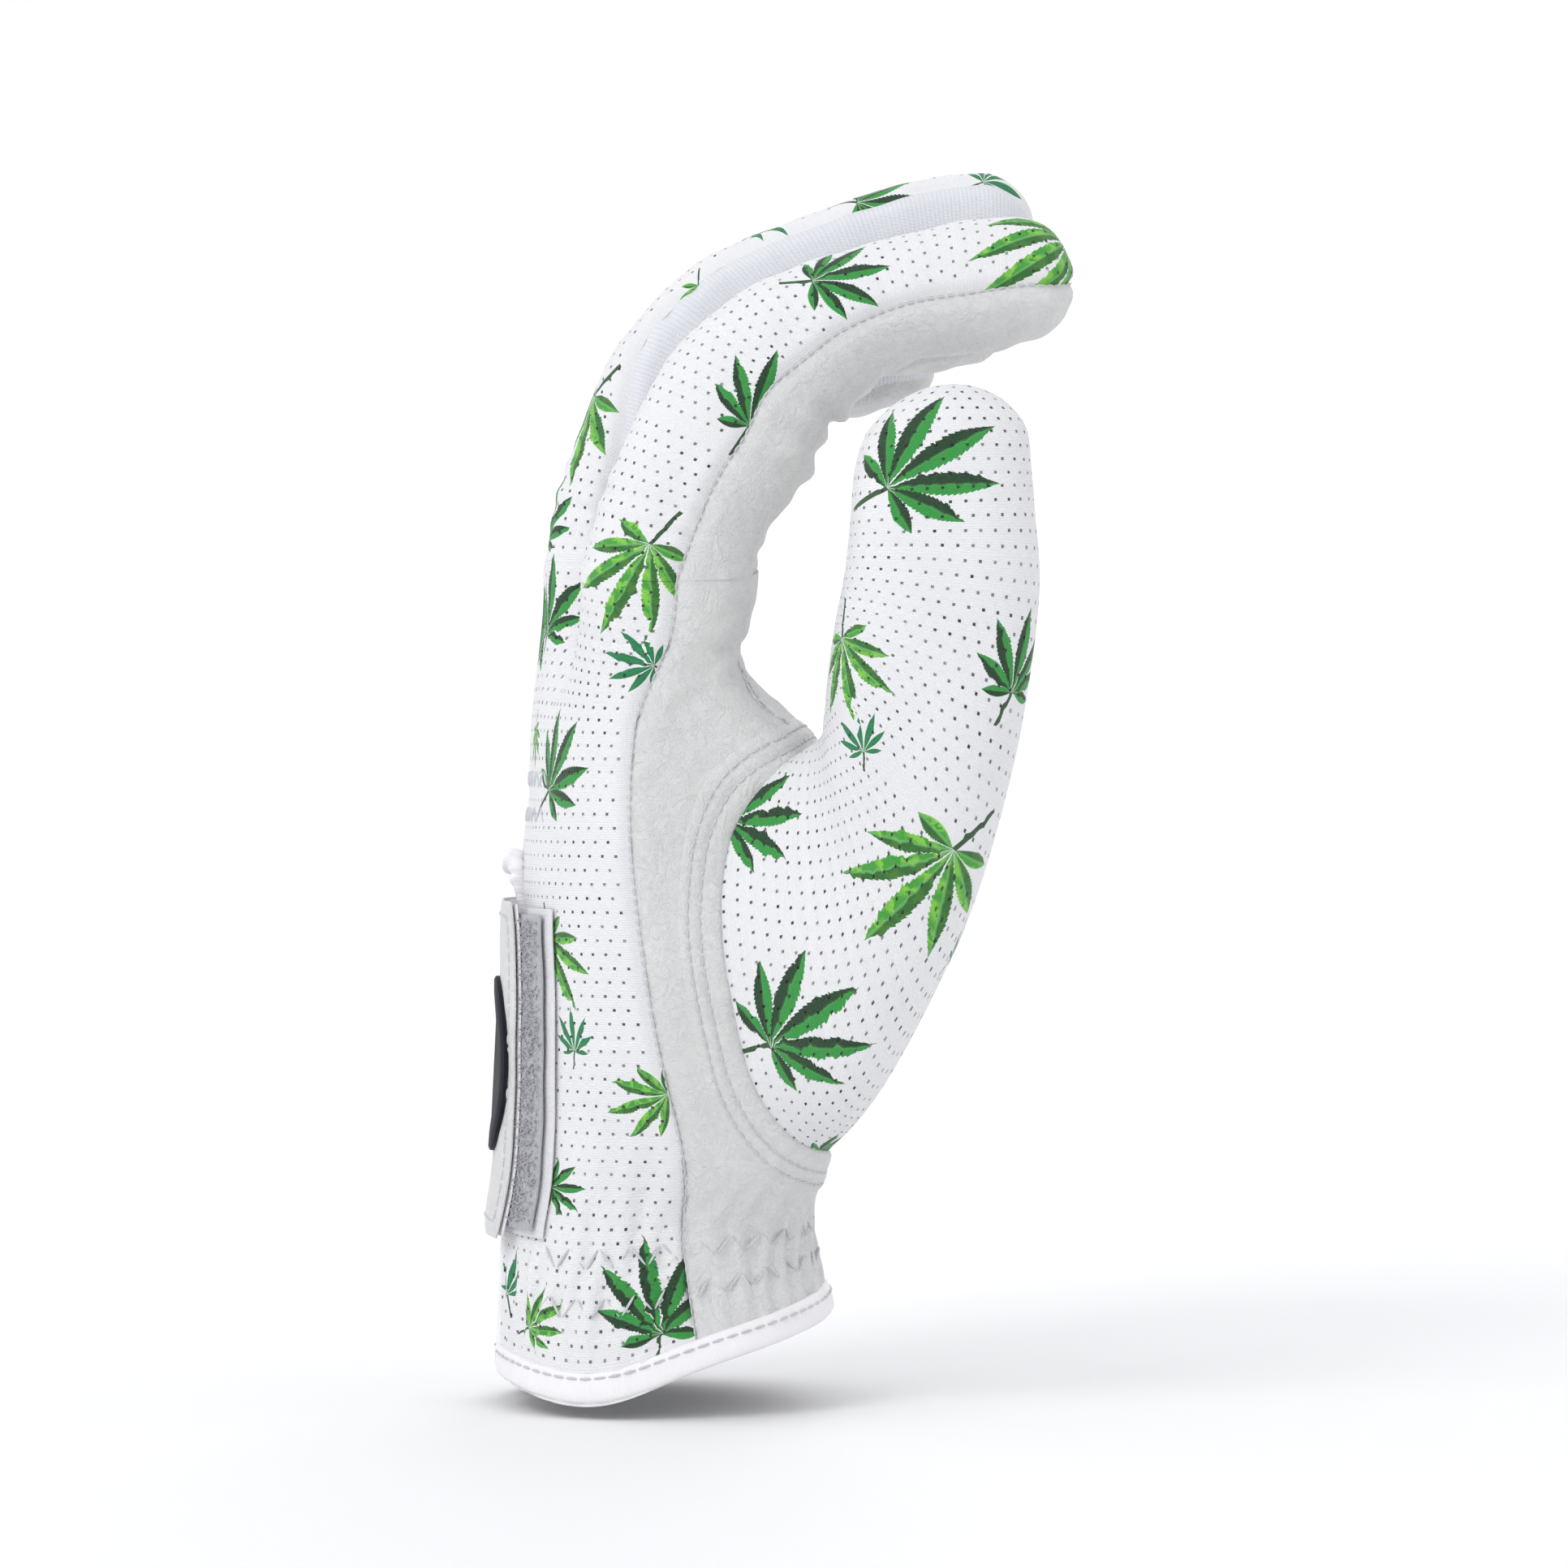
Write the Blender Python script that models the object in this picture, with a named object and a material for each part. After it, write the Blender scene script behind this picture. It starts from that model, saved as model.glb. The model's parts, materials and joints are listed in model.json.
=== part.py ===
"""Left-hand golf glove, filled out as if worn.

Metres, +Z from the wrist opening to the fingertips, +X towards the palm, -Y towards the thumb.
The origin is the centre of the wrist opening.
Every panel is a strip of a tube: a list of rings, each an oval between a palm-side point and
a back-side point, and a range of angles round them. Angle 0 is the palm side, 90 the thumb
side, 180 the back of the hand and 270 the little-finger side.
"""

import math

import bmesh
import bpy
import numpy as np

MM = 0.001

# Driving dimensions, in millimetres.
GLOVE_LENGTH = 131.0  # hem to the little and index knuckle line
PALM_HALF_WIDTH = 44.0  # half of the width across the knuckles
WRIST_HALF_WIDTH = 31.0
WRIST_HALF_DEPTH = 28.0
PALM_HALF_DEPTH = 17.0
KNUCKLE_ARC = 5.0  # how far the middle knuckles stand above the outer ones
FABRIC = 0.9  # thickness of every sewn panel
SEAM_GAP = 0.36  # space between two panels at a seam
JOINT_GAP = 0.9  # space between two segments of a finger at the hinge
HEM_HEIGHT = 5.0
HEM_FABRIC = 2.0
HEM_RISE = 9.0  # how far the hem climbs towards the heel of the palm
VENT_TOP = 86.0
VENT_HALF_WIDTH = 3.0
VENT_TRIM = 2.2
TAB_BOTTOM = 22.0
TAB_TOP = 78.0
TAB_HALF_SPAN = 24.0  # from the middle of the back to the free edge
TAB_FABRIC = 1.2
HOOK_FABRIC = 1.0
LOOP_FABRIC = 0.6
LAYER_GAP = 0.3
BADGE_RADIUS = 15.0
BADGE_FABRIC = 0.8
ELASTIC_FABRIC = 0.8
ELASTIC_GAP = 0.5
WRIST_ELASTIC = (11.0, 23.0)
BACK_ELASTIC = (90.0, 100.0)
FINGER_LENGTH = 1.0  # share of the drawn finger length
FINGER_HALF_WIDTH = {"index": 10.3, "middle": 10.3, "ring": 10.0, "little": 9.0}
THUMB_HALF_DEPTH = 11.0
THUMB_HOLE_GAP = 0.5
THUMB_SEAM_TRIM = 2.5  # degrees left open on each side of the thumb's lower seams

SIDE_SEAM = 85.0  # angle of the seam on the thumb side of the hand
ULNAR_SEAM = 262.0
SQUARENESS = 2.35  # exponent of the ovals: 2 is an ellipse

# Colour, roughness of each material.
FINISHES = {
    "mesh_knit": ((0.90, 0.90, 0.91), 0.85),
    "leather": ((0.80, 0.81, 0.82), 0.55),
    "fine_knit": ((0.78, 0.78, 0.80), 0.9),
    "binding": ((0.92, 0.91, 0.93), 0.6),
    "elastic": ((0.86, 0.86, 0.86), 0.8),
    "hook_tape": ((0.40, 0.40, 0.42), 0.6),
    "loop_tape": ((0.83, 0.83, 0.84), 0.95),
    "badge_rubber": ((0.02, 0.022, 0.03), 0.45),
}

SIDES = 36  # facets round the hand
FINGER_SIDES = 20  # facets round a finger


def clear_scene():
    for obj in list(bpy.data.objects):
        bpy.data.objects.remove(obj, do_unlink=True)


def material(name):
    found = bpy.data.materials.get(name)
    if found:
        return found
    colour, roughness = FINISHES[name]
    made = bpy.data.materials.new(name)
    made.use_nodes = True
    shader = made.node_tree.nodes["Principled BSDF"]
    shader.inputs["Base Color"].default_value = (*colour, 1.0)
    shader.inputs["Roughness"].default_value = roughness
    shader.inputs["Metallic"].default_value = 0.0
    return made


def add_object(name, points, faces, finish, origin=(0.0, 0.0, 0.0)):
    """An object from points in millimetres, with its origin moved to a point of the hinge axis."""
    mesh = bpy.data.meshes.new(name)
    place = np.array(origin, float)
    mesh.from_pydata([tuple((p - place) * MM) for p in points], [], faces)
    mesh.materials.append(material(finish))
    mesh.shade_smooth()
    mesh.set_sharp_from_angle(angle=math.radians(40))
    obj = bpy.data.objects.new(name, mesh)
    obj.location = tuple(place * MM)
    bpy.context.scene.collection.objects.link(obj)
    return obj


class Ring:
    """One oval of a tube, between a palm-side and a back-side point, with a half width sideways."""

    def __init__(self, palm, back, half, side=(0.0, 1.0, 0.0)):
        self.palm = np.array(palm, float)
        self.back = np.array(back, float)
        self.half = half
        self.side = np.array(side, float)

    def point(self, degrees):
        angle = math.radians(degrees)
        middle = (self.palm + self.back) / 2
        reach = (self.palm - self.back) / 2
        power = 2 / SQUARENESS
        forward = math.copysign(abs(math.cos(angle)) ** power, math.cos(angle))
        across = math.copysign(abs(math.sin(angle)) ** power, math.sin(angle))
        return middle + reach * forward - self.side * self.half * across

    def mixed(self, other, share):
        """The ring a share of the way to another one."""
        side = self.side + (other.side - self.side) * share
        return Ring(
            self.palm + (other.palm - self.palm) * share,
            self.back + (other.back - self.back) * share,
            self.half + (other.half - self.half) * share,
            side / np.linalg.norm(side),
        )


def surface(rings, degrees):
    """Points and outward normals of a tube, as arrays of rings by angles."""
    grid = np.array([[ring.point(a) for a in degrees] for ring in rings])
    step = 1.0
    ahead = np.array([[ring.point(a + step) for a in degrees] for ring in rings])
    behind = np.array([[ring.point(a - step) for a in degrees] for ring in rings])
    along = np.gradient(grid, axis=0)
    normal = np.cross(ahead - behind, along)
    middle = np.array([(ring.palm + ring.back) / 2 for ring in rings])
    if np.sum(normal[0] * (grid[0] - middle[0])) < 0:
        normal = -normal
    length = np.linalg.norm(normal, axis=2, keepdims=True)
    return grid, normal / np.maximum(length, 1e-9)


def strip_mesh(rings, start, stop, count, out, thick, shape=None):
    """Points and faces of a closed panel: a range of angles of a tube, thick millimetres in from out."""
    degrees = np.linspace(start, stop, count + 1)
    grid, normal = surface(rings, degrees)
    outer = grid + normal * out
    inner = grid + normal * (out - thick)
    if shape is not None:
        outer = shape(outer)
        inner = shape(inner)
    rows, columns = grid.shape[:2]
    points = list(outer.reshape(-1, 3)) + list(inner.reshape(-1, 3))
    layer = rows * columns

    def at(row, column, level):
        return level * layer + row * columns + column

    faces = []
    for r in range(rows - 1):
        for c in range(columns - 1):
            quad = [at(r, c, 0), at(r, c + 1, 0), at(r + 1, c + 1, 0), at(r + 1, c, 0)]
            faces.append(quad)
            faces.append([i + layer for i in reversed(quad)])
    for r in range(rows - 1):
        faces.append([at(r, 0, 0), at(r + 1, 0, 0), at(r + 1, 0, 1), at(r, 0, 1)])
        end = columns - 1
        faces.append([at(r, end, 1), at(r + 1, end, 1), at(r + 1, end, 0), at(r, end, 0)])
    for c in range(columns - 1):
        faces.append([at(0, c, 1), at(0, c + 1, 1), at(0, c + 1, 0), at(0, c, 0)])
        end = rows - 1
        faces.append([at(end, c, 0), at(end, c + 1, 0), at(end, c + 1, 1), at(end, c, 1)])
    return points, faces


def face_outwards(obj):
    shell = bmesh.new()
    shell.from_mesh(obj.data)
    bmesh.ops.recalc_face_normals(shell, faces=shell.faces)
    shell.to_mesh(obj.data)
    shell.free()


def add_strip(name, rings, start, stop, finish, out=0.0, thick=FABRIC, **more):
    """A panel as an object. The angles stop half a seam gap short of where they are told."""
    sides = more.get("sides", FINGER_SIDES)
    count = max(2, round(abs(stop - start) / 360 * sides))
    around = sum(ring.half + np.linalg.norm(ring.palm - ring.back) / 2 for ring in rings)
    trim = more.get("trim", math.degrees(SEAM_GAP / 2 / (around / len(rings) / 2)))
    points, faces = strip_mesh(
        rings, start + trim, stop - trim, count, out, thick, more.get("shape")
    )
    obj = add_object(name, points, faces, finish, more.get("origin", (0, 0, 0)))
    face_outwards(obj)
    return obj


def cut(obj, cutter, operation="DIFFERENCE"):
    boolean = obj.modifiers.new("cut_" + cutter.name, "BOOLEAN")
    boolean.operation = operation
    boolean.solver = "EXACT"
    boolean.object = cutter
    cutter.hide_render = True
    cutter.display_type = "WIRE"


def knuckle_height(y):
    """Height of the knuckle line, an arc over the width of the hand."""
    return GLOVE_LENGTH + KNUCKLE_ARC * (1 - (y / PALM_HALF_WIDTH) ** 2)


def hem_height(x):
    """Height of the hem's lower edge: low on the back, climbing to the heel of the palm."""
    share = (x + WRIST_HALF_DEPTH) / (2 * WRIST_HALF_DEPTH)
    dip = 5.5 * math.exp(-(((share - 0.25) / 0.28) ** 2))
    return HEM_RISE * max(share, 0.0) ** 2.4 - dip


def hand_ring(z):
    """The hand's oval at a height above the wrist opening."""
    share = z / GLOVE_LENGTH
    heights = (0.0, 0.16, 0.27, 0.46, 0.65, 0.80, 0.95, 1.05)
    wrist, palm = WRIST_HALF_DEPTH, PALM_HALF_DEPTH
    backs = (wrist, wrist - 1, wrist - 3, palm + 7, palm + 7, palm + 5.8, palm + 4, palm + 3)
    fronts = (wrist, wrist - 3, wrist - 2, palm + 3, palm - 2, palm - 3.3, palm - 3.5, palm - 3.5)
    narrow, wide = WRIST_HALF_WIDTH, PALM_HALF_WIDTH
    halves = (narrow, narrow - 2, narrow + 1.5, wide - 6, wide - 3, wide - 1, wide, wide)
    back = float(np.interp(share, heights, backs))
    front = float(np.interp(share, heights, fronts))
    half = float(np.interp(share, heights, halves))
    return Ring((front, 0.0, z), (-back, 0.0, z), half)


def shape_hand(points):
    """Bends the flat ends of the hand's tube to the hem's climb and the knuckles' arc."""
    shaped = points.copy()
    for p in shaped.reshape(-1, 3):
        low = max(0.0, 1 - p[2] / 30)
        high = max(0.0, (p[2] - 100) / (GLOVE_LENGTH - 100))
        p[2] += hem_height(p[0]) * low + (knuckle_height(p[1]) - GLOVE_LENGTH) * high
    return shaped


def hand_rings(bottom, top, count):
    return [hand_ring(z) for z in np.linspace(bottom, top, count)]


class Finger:
    """A finger's hinge points and rings, drawn on the index and moved, turned and scaled for the rest."""

    # Palm-side and back-side points of the index in (X, Z), from the knuckle hinge at (0, 0).
    LOWER = (
        ((0.6, 1.2), (-26.3, 9.8)),
        ((4.0, 10.0), (-21.5, 20.6)),
        ((8.0, 17.6), (-17.8, 28.5)),
        ((11.6, 23.6), (-15.2, 33.6)),
    )
    UPPER = (
        ((13.2, 25.9), (0.4, 47.0)),
        ((19.5, 31.4), (9.1, 50.6)),
        ((26.5, 36.2), (22.5, 55.0)),
        ((36.5, 37.4), (35.5, 58.2)),
    )
    TIP_START = ((42.5, 38.6), (43.5, 59.0))
    TIP_REACH = 9.2
    MIDDLE_HINGE = (12.2, 24.6)

    def __init__(self, name, hinge_x, side, scale, lean):
        self.name = name
        self.side = side
        self.half = FINGER_HALF_WIDTH[name]
        self.hinge = np.array([hinge_x, side, knuckle_height(side)])
        self.scale = scale * FINGER_LENGTH
        self.lean = math.radians(lean)
        self.middle = self.place(self.MIDDLE_HINGE)

    def place(self, point):
        """A point of the drawn index as a point of this finger."""
        x, z = point[0] * self.scale, point[1] * self.scale
        turned_x = x * math.cos(self.lean) + z * math.sin(self.lean)
        turned_z = z * math.cos(self.lean) - x * math.sin(self.lean)
        return self.hinge + np.array([turned_x, 0.0, turned_z])

    def ring(self, pair, half=None):
        return Ring(self.place(pair[0]), self.place(pair[1]), half or self.half)

    def lower(self):
        return [self.ring(pair) for pair in self.LOWER]

    def upper(self):
        """The rings from the middle hinge to the tip, which closes as half of an ellipsoid."""
        rings = [self.ring(pair, self.half * 0.97) for pair in self.UPPER]
        start = self.ring(self.TIP_START, self.half * 0.94)
        rings.append(start)
        middle = (start.palm + start.back) / 2
        forward = np.cross(start.side, start.back - start.palm)
        forward /= -np.linalg.norm(forward)
        if forward[0] < 0:
            forward = -forward
        for degrees in (30, 54, 72, 85):
            shrink = math.cos(math.radians(degrees))
            ahead = forward * self.TIP_REACH * self.scale * math.sin(math.radians(degrees))
            palm = middle + (start.palm - middle) * shrink + ahead
            back = middle + (start.back - middle) * shrink + ahead
            rings.append(Ring(palm, back, start.half * shrink))
        return rings


FINGERS = (
    Finger("index", 13.5, -33.0, 1.0, 0.0),
    Finger("middle", 9.5, -11.0, 1.03, -4.0),
    Finger("ring", 7.0, 10.6, 0.96, 4.0),
    Finger("little", 9.0, 30.6, 0.80, -2.0),
)

# Angles of the seams round a finger: which panels it has, and from where to where.
BACK = ("back", "mesh_knit")
FRONT = ("front", "leather")
FORK = ("side", "fine_knit")
SEAMS = {
    "index": ((FRONT, -58, 88), (BACK, 88, 232), (FORK, 232, 302)),
    "middle": ((FRONT, -50, 50), (FORK, 50, 122), (BACK, 122, 238), (FORK, 238, 310)),
    "ring": ((FRONT, -50, 50), (FORK, 50, 122), (BACK, 122, 238), (FORK, 238, 310)),
    "little": ((FRONT, -118, 58), (FORK, 58, 126), (BACK, 126, 242)),
}


def pull_ends(rings, first, last):
    """Rings with their first and last moved inwards along the tube by millimetres."""
    moved = list(rings)
    if first:
        span = np.linalg.norm((rings[1].palm + rings[1].back - rings[0].palm - rings[0].back) / 2)
        moved[0] = rings[0].mixed(rings[1], first / span)
    if last:
        a, b = rings[-1], rings[-2]
        span = np.linalg.norm((a.palm + a.back - b.palm - b.back) / 2)
        moved[-1] = a.mixed(b, last / span)
    return moved


def fork_name(finger, start):
    side = "thumb" if start < 180 else "outer"
    if finger in ("index", "little"):
        return "side"
    return side + "_side"


def make_fingers():
    for finger in FINGERS:
        segments = (
            ("lower", pull_ends(finger.lower(), 0, JOINT_GAP), finger.hinge),
            ("upper", pull_ends(finger.upper(), JOINT_GAP, 0), finger.middle),
        )
        for segment, rings, origin in segments:
            for (panel, finish), start, stop in SEAMS[finger.name]:
                label = fork_name(finger.name, start) if panel == "side" else panel
                name = f"{finger.name}_{label}_{segment}"
                add_strip(name, rings, start, stop, finish, origin=origin)


def wedge_rings(low, high, count, clear=0.07):
    """Rings that fan open from one end ring to another, a share clear of both."""
    return [low.mixed(high, share) for share in np.linspace(clear, 1 - clear, count)]


def make_knuckle_gussets():
    """The stretch of the back that opens and folds over each hinge."""
    for finger in FINGERS:
        first = finger.lower()[0]
        rim = hand_ring(GLOVE_LENGTH)
        top = knuckle_height(finger.side)
        # The hand's own back edge under this finger, at the finger's place across the hand.
        share = 1 - (abs(finger.side) / rim.half) ** SQUARENESS
        back_x = rim.back[0] * share ** (1 / SQUARENESS)
        low = Ring(first.palm, (back_x, finger.side, top + JOINT_GAP), finger.half)
        add_strip(
            f"{finger.name}_knuckle_gusset",
            wedge_rings(low, first, 4),
            118,
            242,
            "mesh_knit",
            origin=finger.hinge,
        )
        last, start = finger.lower()[-1], finger.upper()[0]
        add_strip(
            f"{finger.name}_middle_gusset",
            wedge_rings(last, start, 5),
            118,
            242,
            "mesh_knit",
            origin=finger.middle,
        )


# The thumb's rings: inner (web) and outer points in (X, Z), place across, half depth, turn.
# They are drawn on a glove of DRAWN_LENGTH and DRAWN_HALF_WIDTH and move with the real one.
DRAWN_LENGTH = 131.0
DRAWN_HALF_WIDTH = 44.0
THUMB_BASE = (
    ((12.0, 99.0), (14.0, 40.0), -16.0, 13.0, 50),
    ((18.5, 102.0), (24.0, 39.0), -27.0, 14.0, 45),
    ((23.6, 105.0), (34.5, 48.0), -37.0, 14.0, 26),
    ((25.0, 109.0), (45.0, 68.0), -44.0, 13.4, 12),
    ((25.4, 111.5), (50.3, 81.0), -49.0, 12.6, 6),
)
THUMB_TOP = (
    ((26.5, 121.5), (56.4, 107.0), -54.5, 11.6, 2),
    ((28.0, 131.0), (59.2, 128.0), -57.0, 11.0, 0),
    ((29.0, 140.0), (58.8, 141.0), -58.0, 10.6, 0),
)
THUMB_TIP = ((30.6, 147.5), (57.9, 149.0), -58.0, 10.0, 0)
THUMB_TIP_REACH = 14.0
THUMB_OPENING = 17.0  # degrees that the back of the thumb can fold by at its hinge


def thumb_ring(spec):
    """A ring of the thumb: its oval's long axis runs from the web side to the outer side."""
    web, outer, across, depth, turn = spec
    depth = depth * THUMB_HALF_DEPTH / 11.0
    across -= PALM_HALF_WIDTH - DRAWN_HALF_WIDTH
    rise = GLOVE_LENGTH / DRAWN_LENGTH
    angle = math.radians(turn)
    middle = np.array([(web[0] + outer[0]) / 2, across, (web[1] + outer[1]) / 2 * rise])
    long_axis = np.array([outer[0] - web[0], 0.0, (outer[1] - web[1]) * rise])
    half = np.linalg.norm(long_axis) / 2
    towards_palm = np.array([math.sin(angle), math.cos(angle), 0.0])
    return Ring(
        middle + towards_palm * depth,
        middle - towards_palm * depth,
        half,
        long_axis / (2 * half),
    )


def thumb_hinge_ring():
    """The upper thumb's first ring: the lower thumb's last, turned about its palm side."""
    last = thumb_ring(THUMB_BASE[-1])
    across = last.back - last.palm
    forward = np.cross(last.side, last.palm - last.back)
    forward *= np.linalg.norm(across) / np.linalg.norm(forward)
    if forward[2] < 0:
        forward = -forward
    turn = math.radians(THUMB_OPENING)
    back = last.palm + across * math.cos(turn) + forward * math.sin(turn)
    return Ring(last.palm, back, last.half, last.side)


def thumb_top_rings():
    rings = [thumb_hinge_ring()] + [thumb_ring(spec) for spec in THUMB_TOP]
    start = thumb_ring(THUMB_TIP)
    rings.append(start)
    middle = (start.palm + start.back) / 2
    forward = np.cross(start.side, start.palm - start.back)
    forward /= np.linalg.norm(forward)
    if forward[2] < 0:
        forward = -forward
    for degrees in (28, 51, 70, 80):
        shrink = math.cos(math.radians(degrees))
        ahead = forward * THUMB_TIP_REACH * math.sin(math.radians(degrees))
        rings.append(
            Ring(
                middle + (start.palm - middle) * shrink + ahead,
                middle + (start.back - middle) * shrink + ahead,
                start.half * shrink,
                start.side,
            )
        )
    return rings


def solid_tube(name, rings, out, sides, shape=None):
    """A filled tube used as a cutter."""
    degrees = np.linspace(0, 360, sides, endpoint=False)
    grid, normal = surface(rings, degrees)
    outer = grid + normal * out
    if shape is not None:
        outer = shape(outer)
    rows, columns = grid.shape[:2]
    faces = []
    for r in range(rows - 1):
        for c in range(columns):
            d = (c + 1) % columns
            low, high = r * columns, (r + 1) * columns
            faces.append([low + c, low + d, high + d, high + c])
    faces.append([c for c in reversed(range(columns))])
    faces.append([(rows - 1) * columns + c for c in range(columns)])
    obj = add_object(name, list(outer.reshape(-1, 3)), faces, "leather")
    face_outwards(obj)
    return obj


def make_thumb():
    base = pull_ends([thumb_ring(spec) for spec in THUMB_BASE], 0, JOINT_GAP)
    top = thumb_top_rings()
    hinge = top[0].palm
    hand_core = solid_tube(
        "hand_core", hand_rings(HEM_HEIGHT, GLOVE_LENGTH, 14), THUMB_HOLE_GAP, SIDES, shape_hand
    )
    trim = THUMB_SEAM_TRIM
    base_back = add_strip("thumb_back_lower", base, 72, 288, "mesh_knit", trim=trim)
    base_front = add_strip("thumb_front_lower", base, -72, 72, "leather", trim=trim)
    cut(base_back, hand_core)
    cut(base_front, hand_core)
    upper = pull_ends(top, JOINT_GAP, 0)
    options = {"origin": hinge, "trim": THUMB_SEAM_TRIM}
    add_strip("thumb_back_upper", upper, 72, 288, "mesh_knit", **options)
    add_strip("thumb_front_upper", upper, -72, 72, "leather", **options)
    fold = wedge_rings(base[-1], upper[0], 4, 0.2)
    add_strip("thumb_knuckle_gusset", fold, 112, 248, "mesh_knit", origin=hinge)
    return solid_tube("thumb_core", base, THUMB_HOLE_GAP, FINGER_SIDES)


def vent_cutter(extra):
    """A tall wedge that cuts the vent in the back, from the hem up."""
    half = VENT_HALF_WIDTH + extra
    top = VENT_TOP + extra
    outline = [(-half, -20.0), (half, -20.0), (half * 0.45, top), (-half * 0.45, top)]
    near, far = -WRIST_HALF_DEPTH - 12.0, -8.0
    points = [np.array([near, y, z]) for y, z in outline]
    points += [np.array([far, y, z]) for y, z in outline]
    faces = [[0, 1, 2, 3], [7, 6, 5, 4], [0, 4, 5, 1], [1, 5, 6, 2], [2, 6, 7, 3], [3, 7, 4, 0]]
    name = f"vent_cutter_{round(extra * 10)}"
    obj = add_object(name, points, faces, "binding")
    face_outwards(obj)
    return obj


def make_hand(thumb_core):
    rings = hand_rings(HEM_HEIGHT + SEAM_GAP, GLOVE_LENGTH, 12)
    wide_vent = vent_cutter(VENT_TRIM + LAYER_GAP)
    back = add_strip(
        "back_mesh", rings, SIDE_SEAM, ULNAR_SEAM, "mesh_knit", sides=SIDES, shape=shape_hand
    )
    cut(back, wide_vent)
    palm = add_strip(
        "palm_leather",
        rings,
        ULNAR_SEAM - 360,
        SIDE_SEAM,
        "leather",
        sides=SIDES,
        shape=shape_hand,
    )
    cut(palm, thumb_core)
    hem_out = (HEM_FABRIC - FABRIC) / 2
    vent_narrow = vent_cutter(LAYER_GAP - 0.1)
    hem = add_strip(
        "hem_binding",
        hand_rings(0.0, HEM_HEIGHT, 3),
        180 + 0.5,
        540 - 0.5,
        "binding",
        out=hem_out,
        thick=HEM_FABRIC,
        sides=SIDES,
        shape=shape_hand,
    )
    cut(hem, vent_narrow)


def make_vent_binding():
    """The bound edge of the vent: an upturned U that lies in the back, above the hem."""
    count = 9
    low, high = HEM_HEIGHT + SEAM_GAP, VENT_TOP
    rings = hand_rings(low, high + VENT_TRIM, count)
    reach = math.degrees(math.asin((VENT_HALF_WIDTH + VENT_TRIM) / WRIST_HALF_WIDTH)) * 1.6
    trim = add_strip(
        "vent_binding",
        rings,
        180 - reach,
        180 + reach,
        "binding",
        out=0.2,
        thick=FABRIC + 0.4,
        sides=160,
        trim=0.0,
        shape=shape_hand,
    )
    keep = vent_cutter(VENT_TRIM)
    cut(trim, keep, "INTERSECT")
    cut(trim, vent_cutter(0.0))


def angle_across(z, y):
    """The angle round the back at which the hand's oval is y millimetres to the outer side."""
    ring = hand_ring(z)
    sine = (abs(y) / ring.half) ** (SQUARENESS / 2)
    turn = math.degrees(math.asin(min(1.0, sine)))
    return 180 + math.copysign(turn, y)


def make_closure():
    middle_height = (TAB_BOTTOM + TAB_TOP) / 2
    outer = angle_across(middle_height, TAB_HALF_SPAN)
    free = angle_across(middle_height, -TAB_HALF_SPAN)
    loop_out = LAYER_GAP + LOOP_FABRIC
    hook_out = loop_out + LAYER_GAP + HOOK_FABRIC
    tab_out = hook_out + LAYER_GAP + TAB_FABRIC
    badge_out = tab_out + LAYER_GAP + BADGE_FABRIC
    patch_edge = angle_across(middle_height, -VENT_HALF_WIDTH - VENT_TRIM - 2.0)
    patch = hand_rings(TAB_BOTTOM + 1.0, TAB_TOP - 1.0, 8)
    options = {"sides": SIDES * 1.5, "trim": 0.0}
    add_strip(
        "loop_patch", patch, free, patch_edge, "loop_tape", loop_out, LOOP_FABRIC, **options
    )
    hinge = hinge_of_tab()
    hook = hand_rings(TAB_BOTTOM + 2.0, TAB_TOP - 2.0, 8)
    options["origin"] = hinge
    add_strip(
        "hook_pad", hook, free + 1.0, patch_edge, "hook_tape", hook_out, HOOK_FABRIC, **options
    )
    tab = hand_rings(TAB_BOTTOM, TAB_TOP, 8)
    add_strip("tab_leather", tab, free, outer, "leather", tab_out, TAB_FABRIC, **options)
    badge_rings = hand_rings(middle_height - BADGE_RADIUS, middle_height + BADGE_RADIUS, 7)
    left = angle_across(middle_height, -BADGE_RADIUS)
    right = angle_across(middle_height, BADGE_RADIUS)
    badge = add_strip(
        "badge", badge_rings, left, right, "badge_rubber", badge_out, BADGE_FABRIC, **options
    )
    cut(badge, badge_cutter(middle_height), "INTERSECT")


def badge_cutter(height):
    """A round bar through the back that trims the badge to a disc."""
    bar = bmesh.new()
    bmesh.ops.create_cone(
        bar,
        cap_ends=True,
        segments=28,
        radius1=BADGE_RADIUS * MM,
        radius2=BADGE_RADIUS * MM,
        depth=60 * MM,
    )
    mesh = bpy.data.meshes.new("badge_cutter")
    bar.to_mesh(mesh)
    bar.free()
    obj = bpy.data.objects.new("badge_cutter", mesh)
    obj.rotation_euler = (0.0, math.radians(90), 0.0)
    obj.location = (-WRIST_HALF_DEPTH * MM, 0.0, height * MM)
    bpy.context.scene.collection.objects.link(obj)
    return obj


def hinge_of_tab():
    """A point of the tab's sewn edge, which the tab turns about."""
    middle_height = (TAB_BOTTOM + TAB_TOP) / 2
    edge = hand_ring(middle_height).point(angle_across(middle_height, TAB_HALF_SPAN))
    layers = LOOP_FABRIC + HOOK_FABRIC + 4 * LAYER_GAP + TAB_FABRIC
    return edge + np.array([-layers, TAB_FABRIC + LAYER_GAP, 0.0])


def make_elastics():
    inside = -FABRIC - ELASTIC_GAP
    low, high = WRIST_ELASTIC
    rings = hand_rings(low, high, 4)
    add_strip(
        "wrist_elastic", rings, -150, 150, "elastic", inside, ELASTIC_FABRIC, sides=SIDES
    )
    low, high = BACK_ELASTIC
    rings = hand_rings(low, high, 3)
    add_strip("back_elastic", rings, 150, 210, "elastic", inside, ELASTIC_FABRIC, sides=SIDES)


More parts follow.
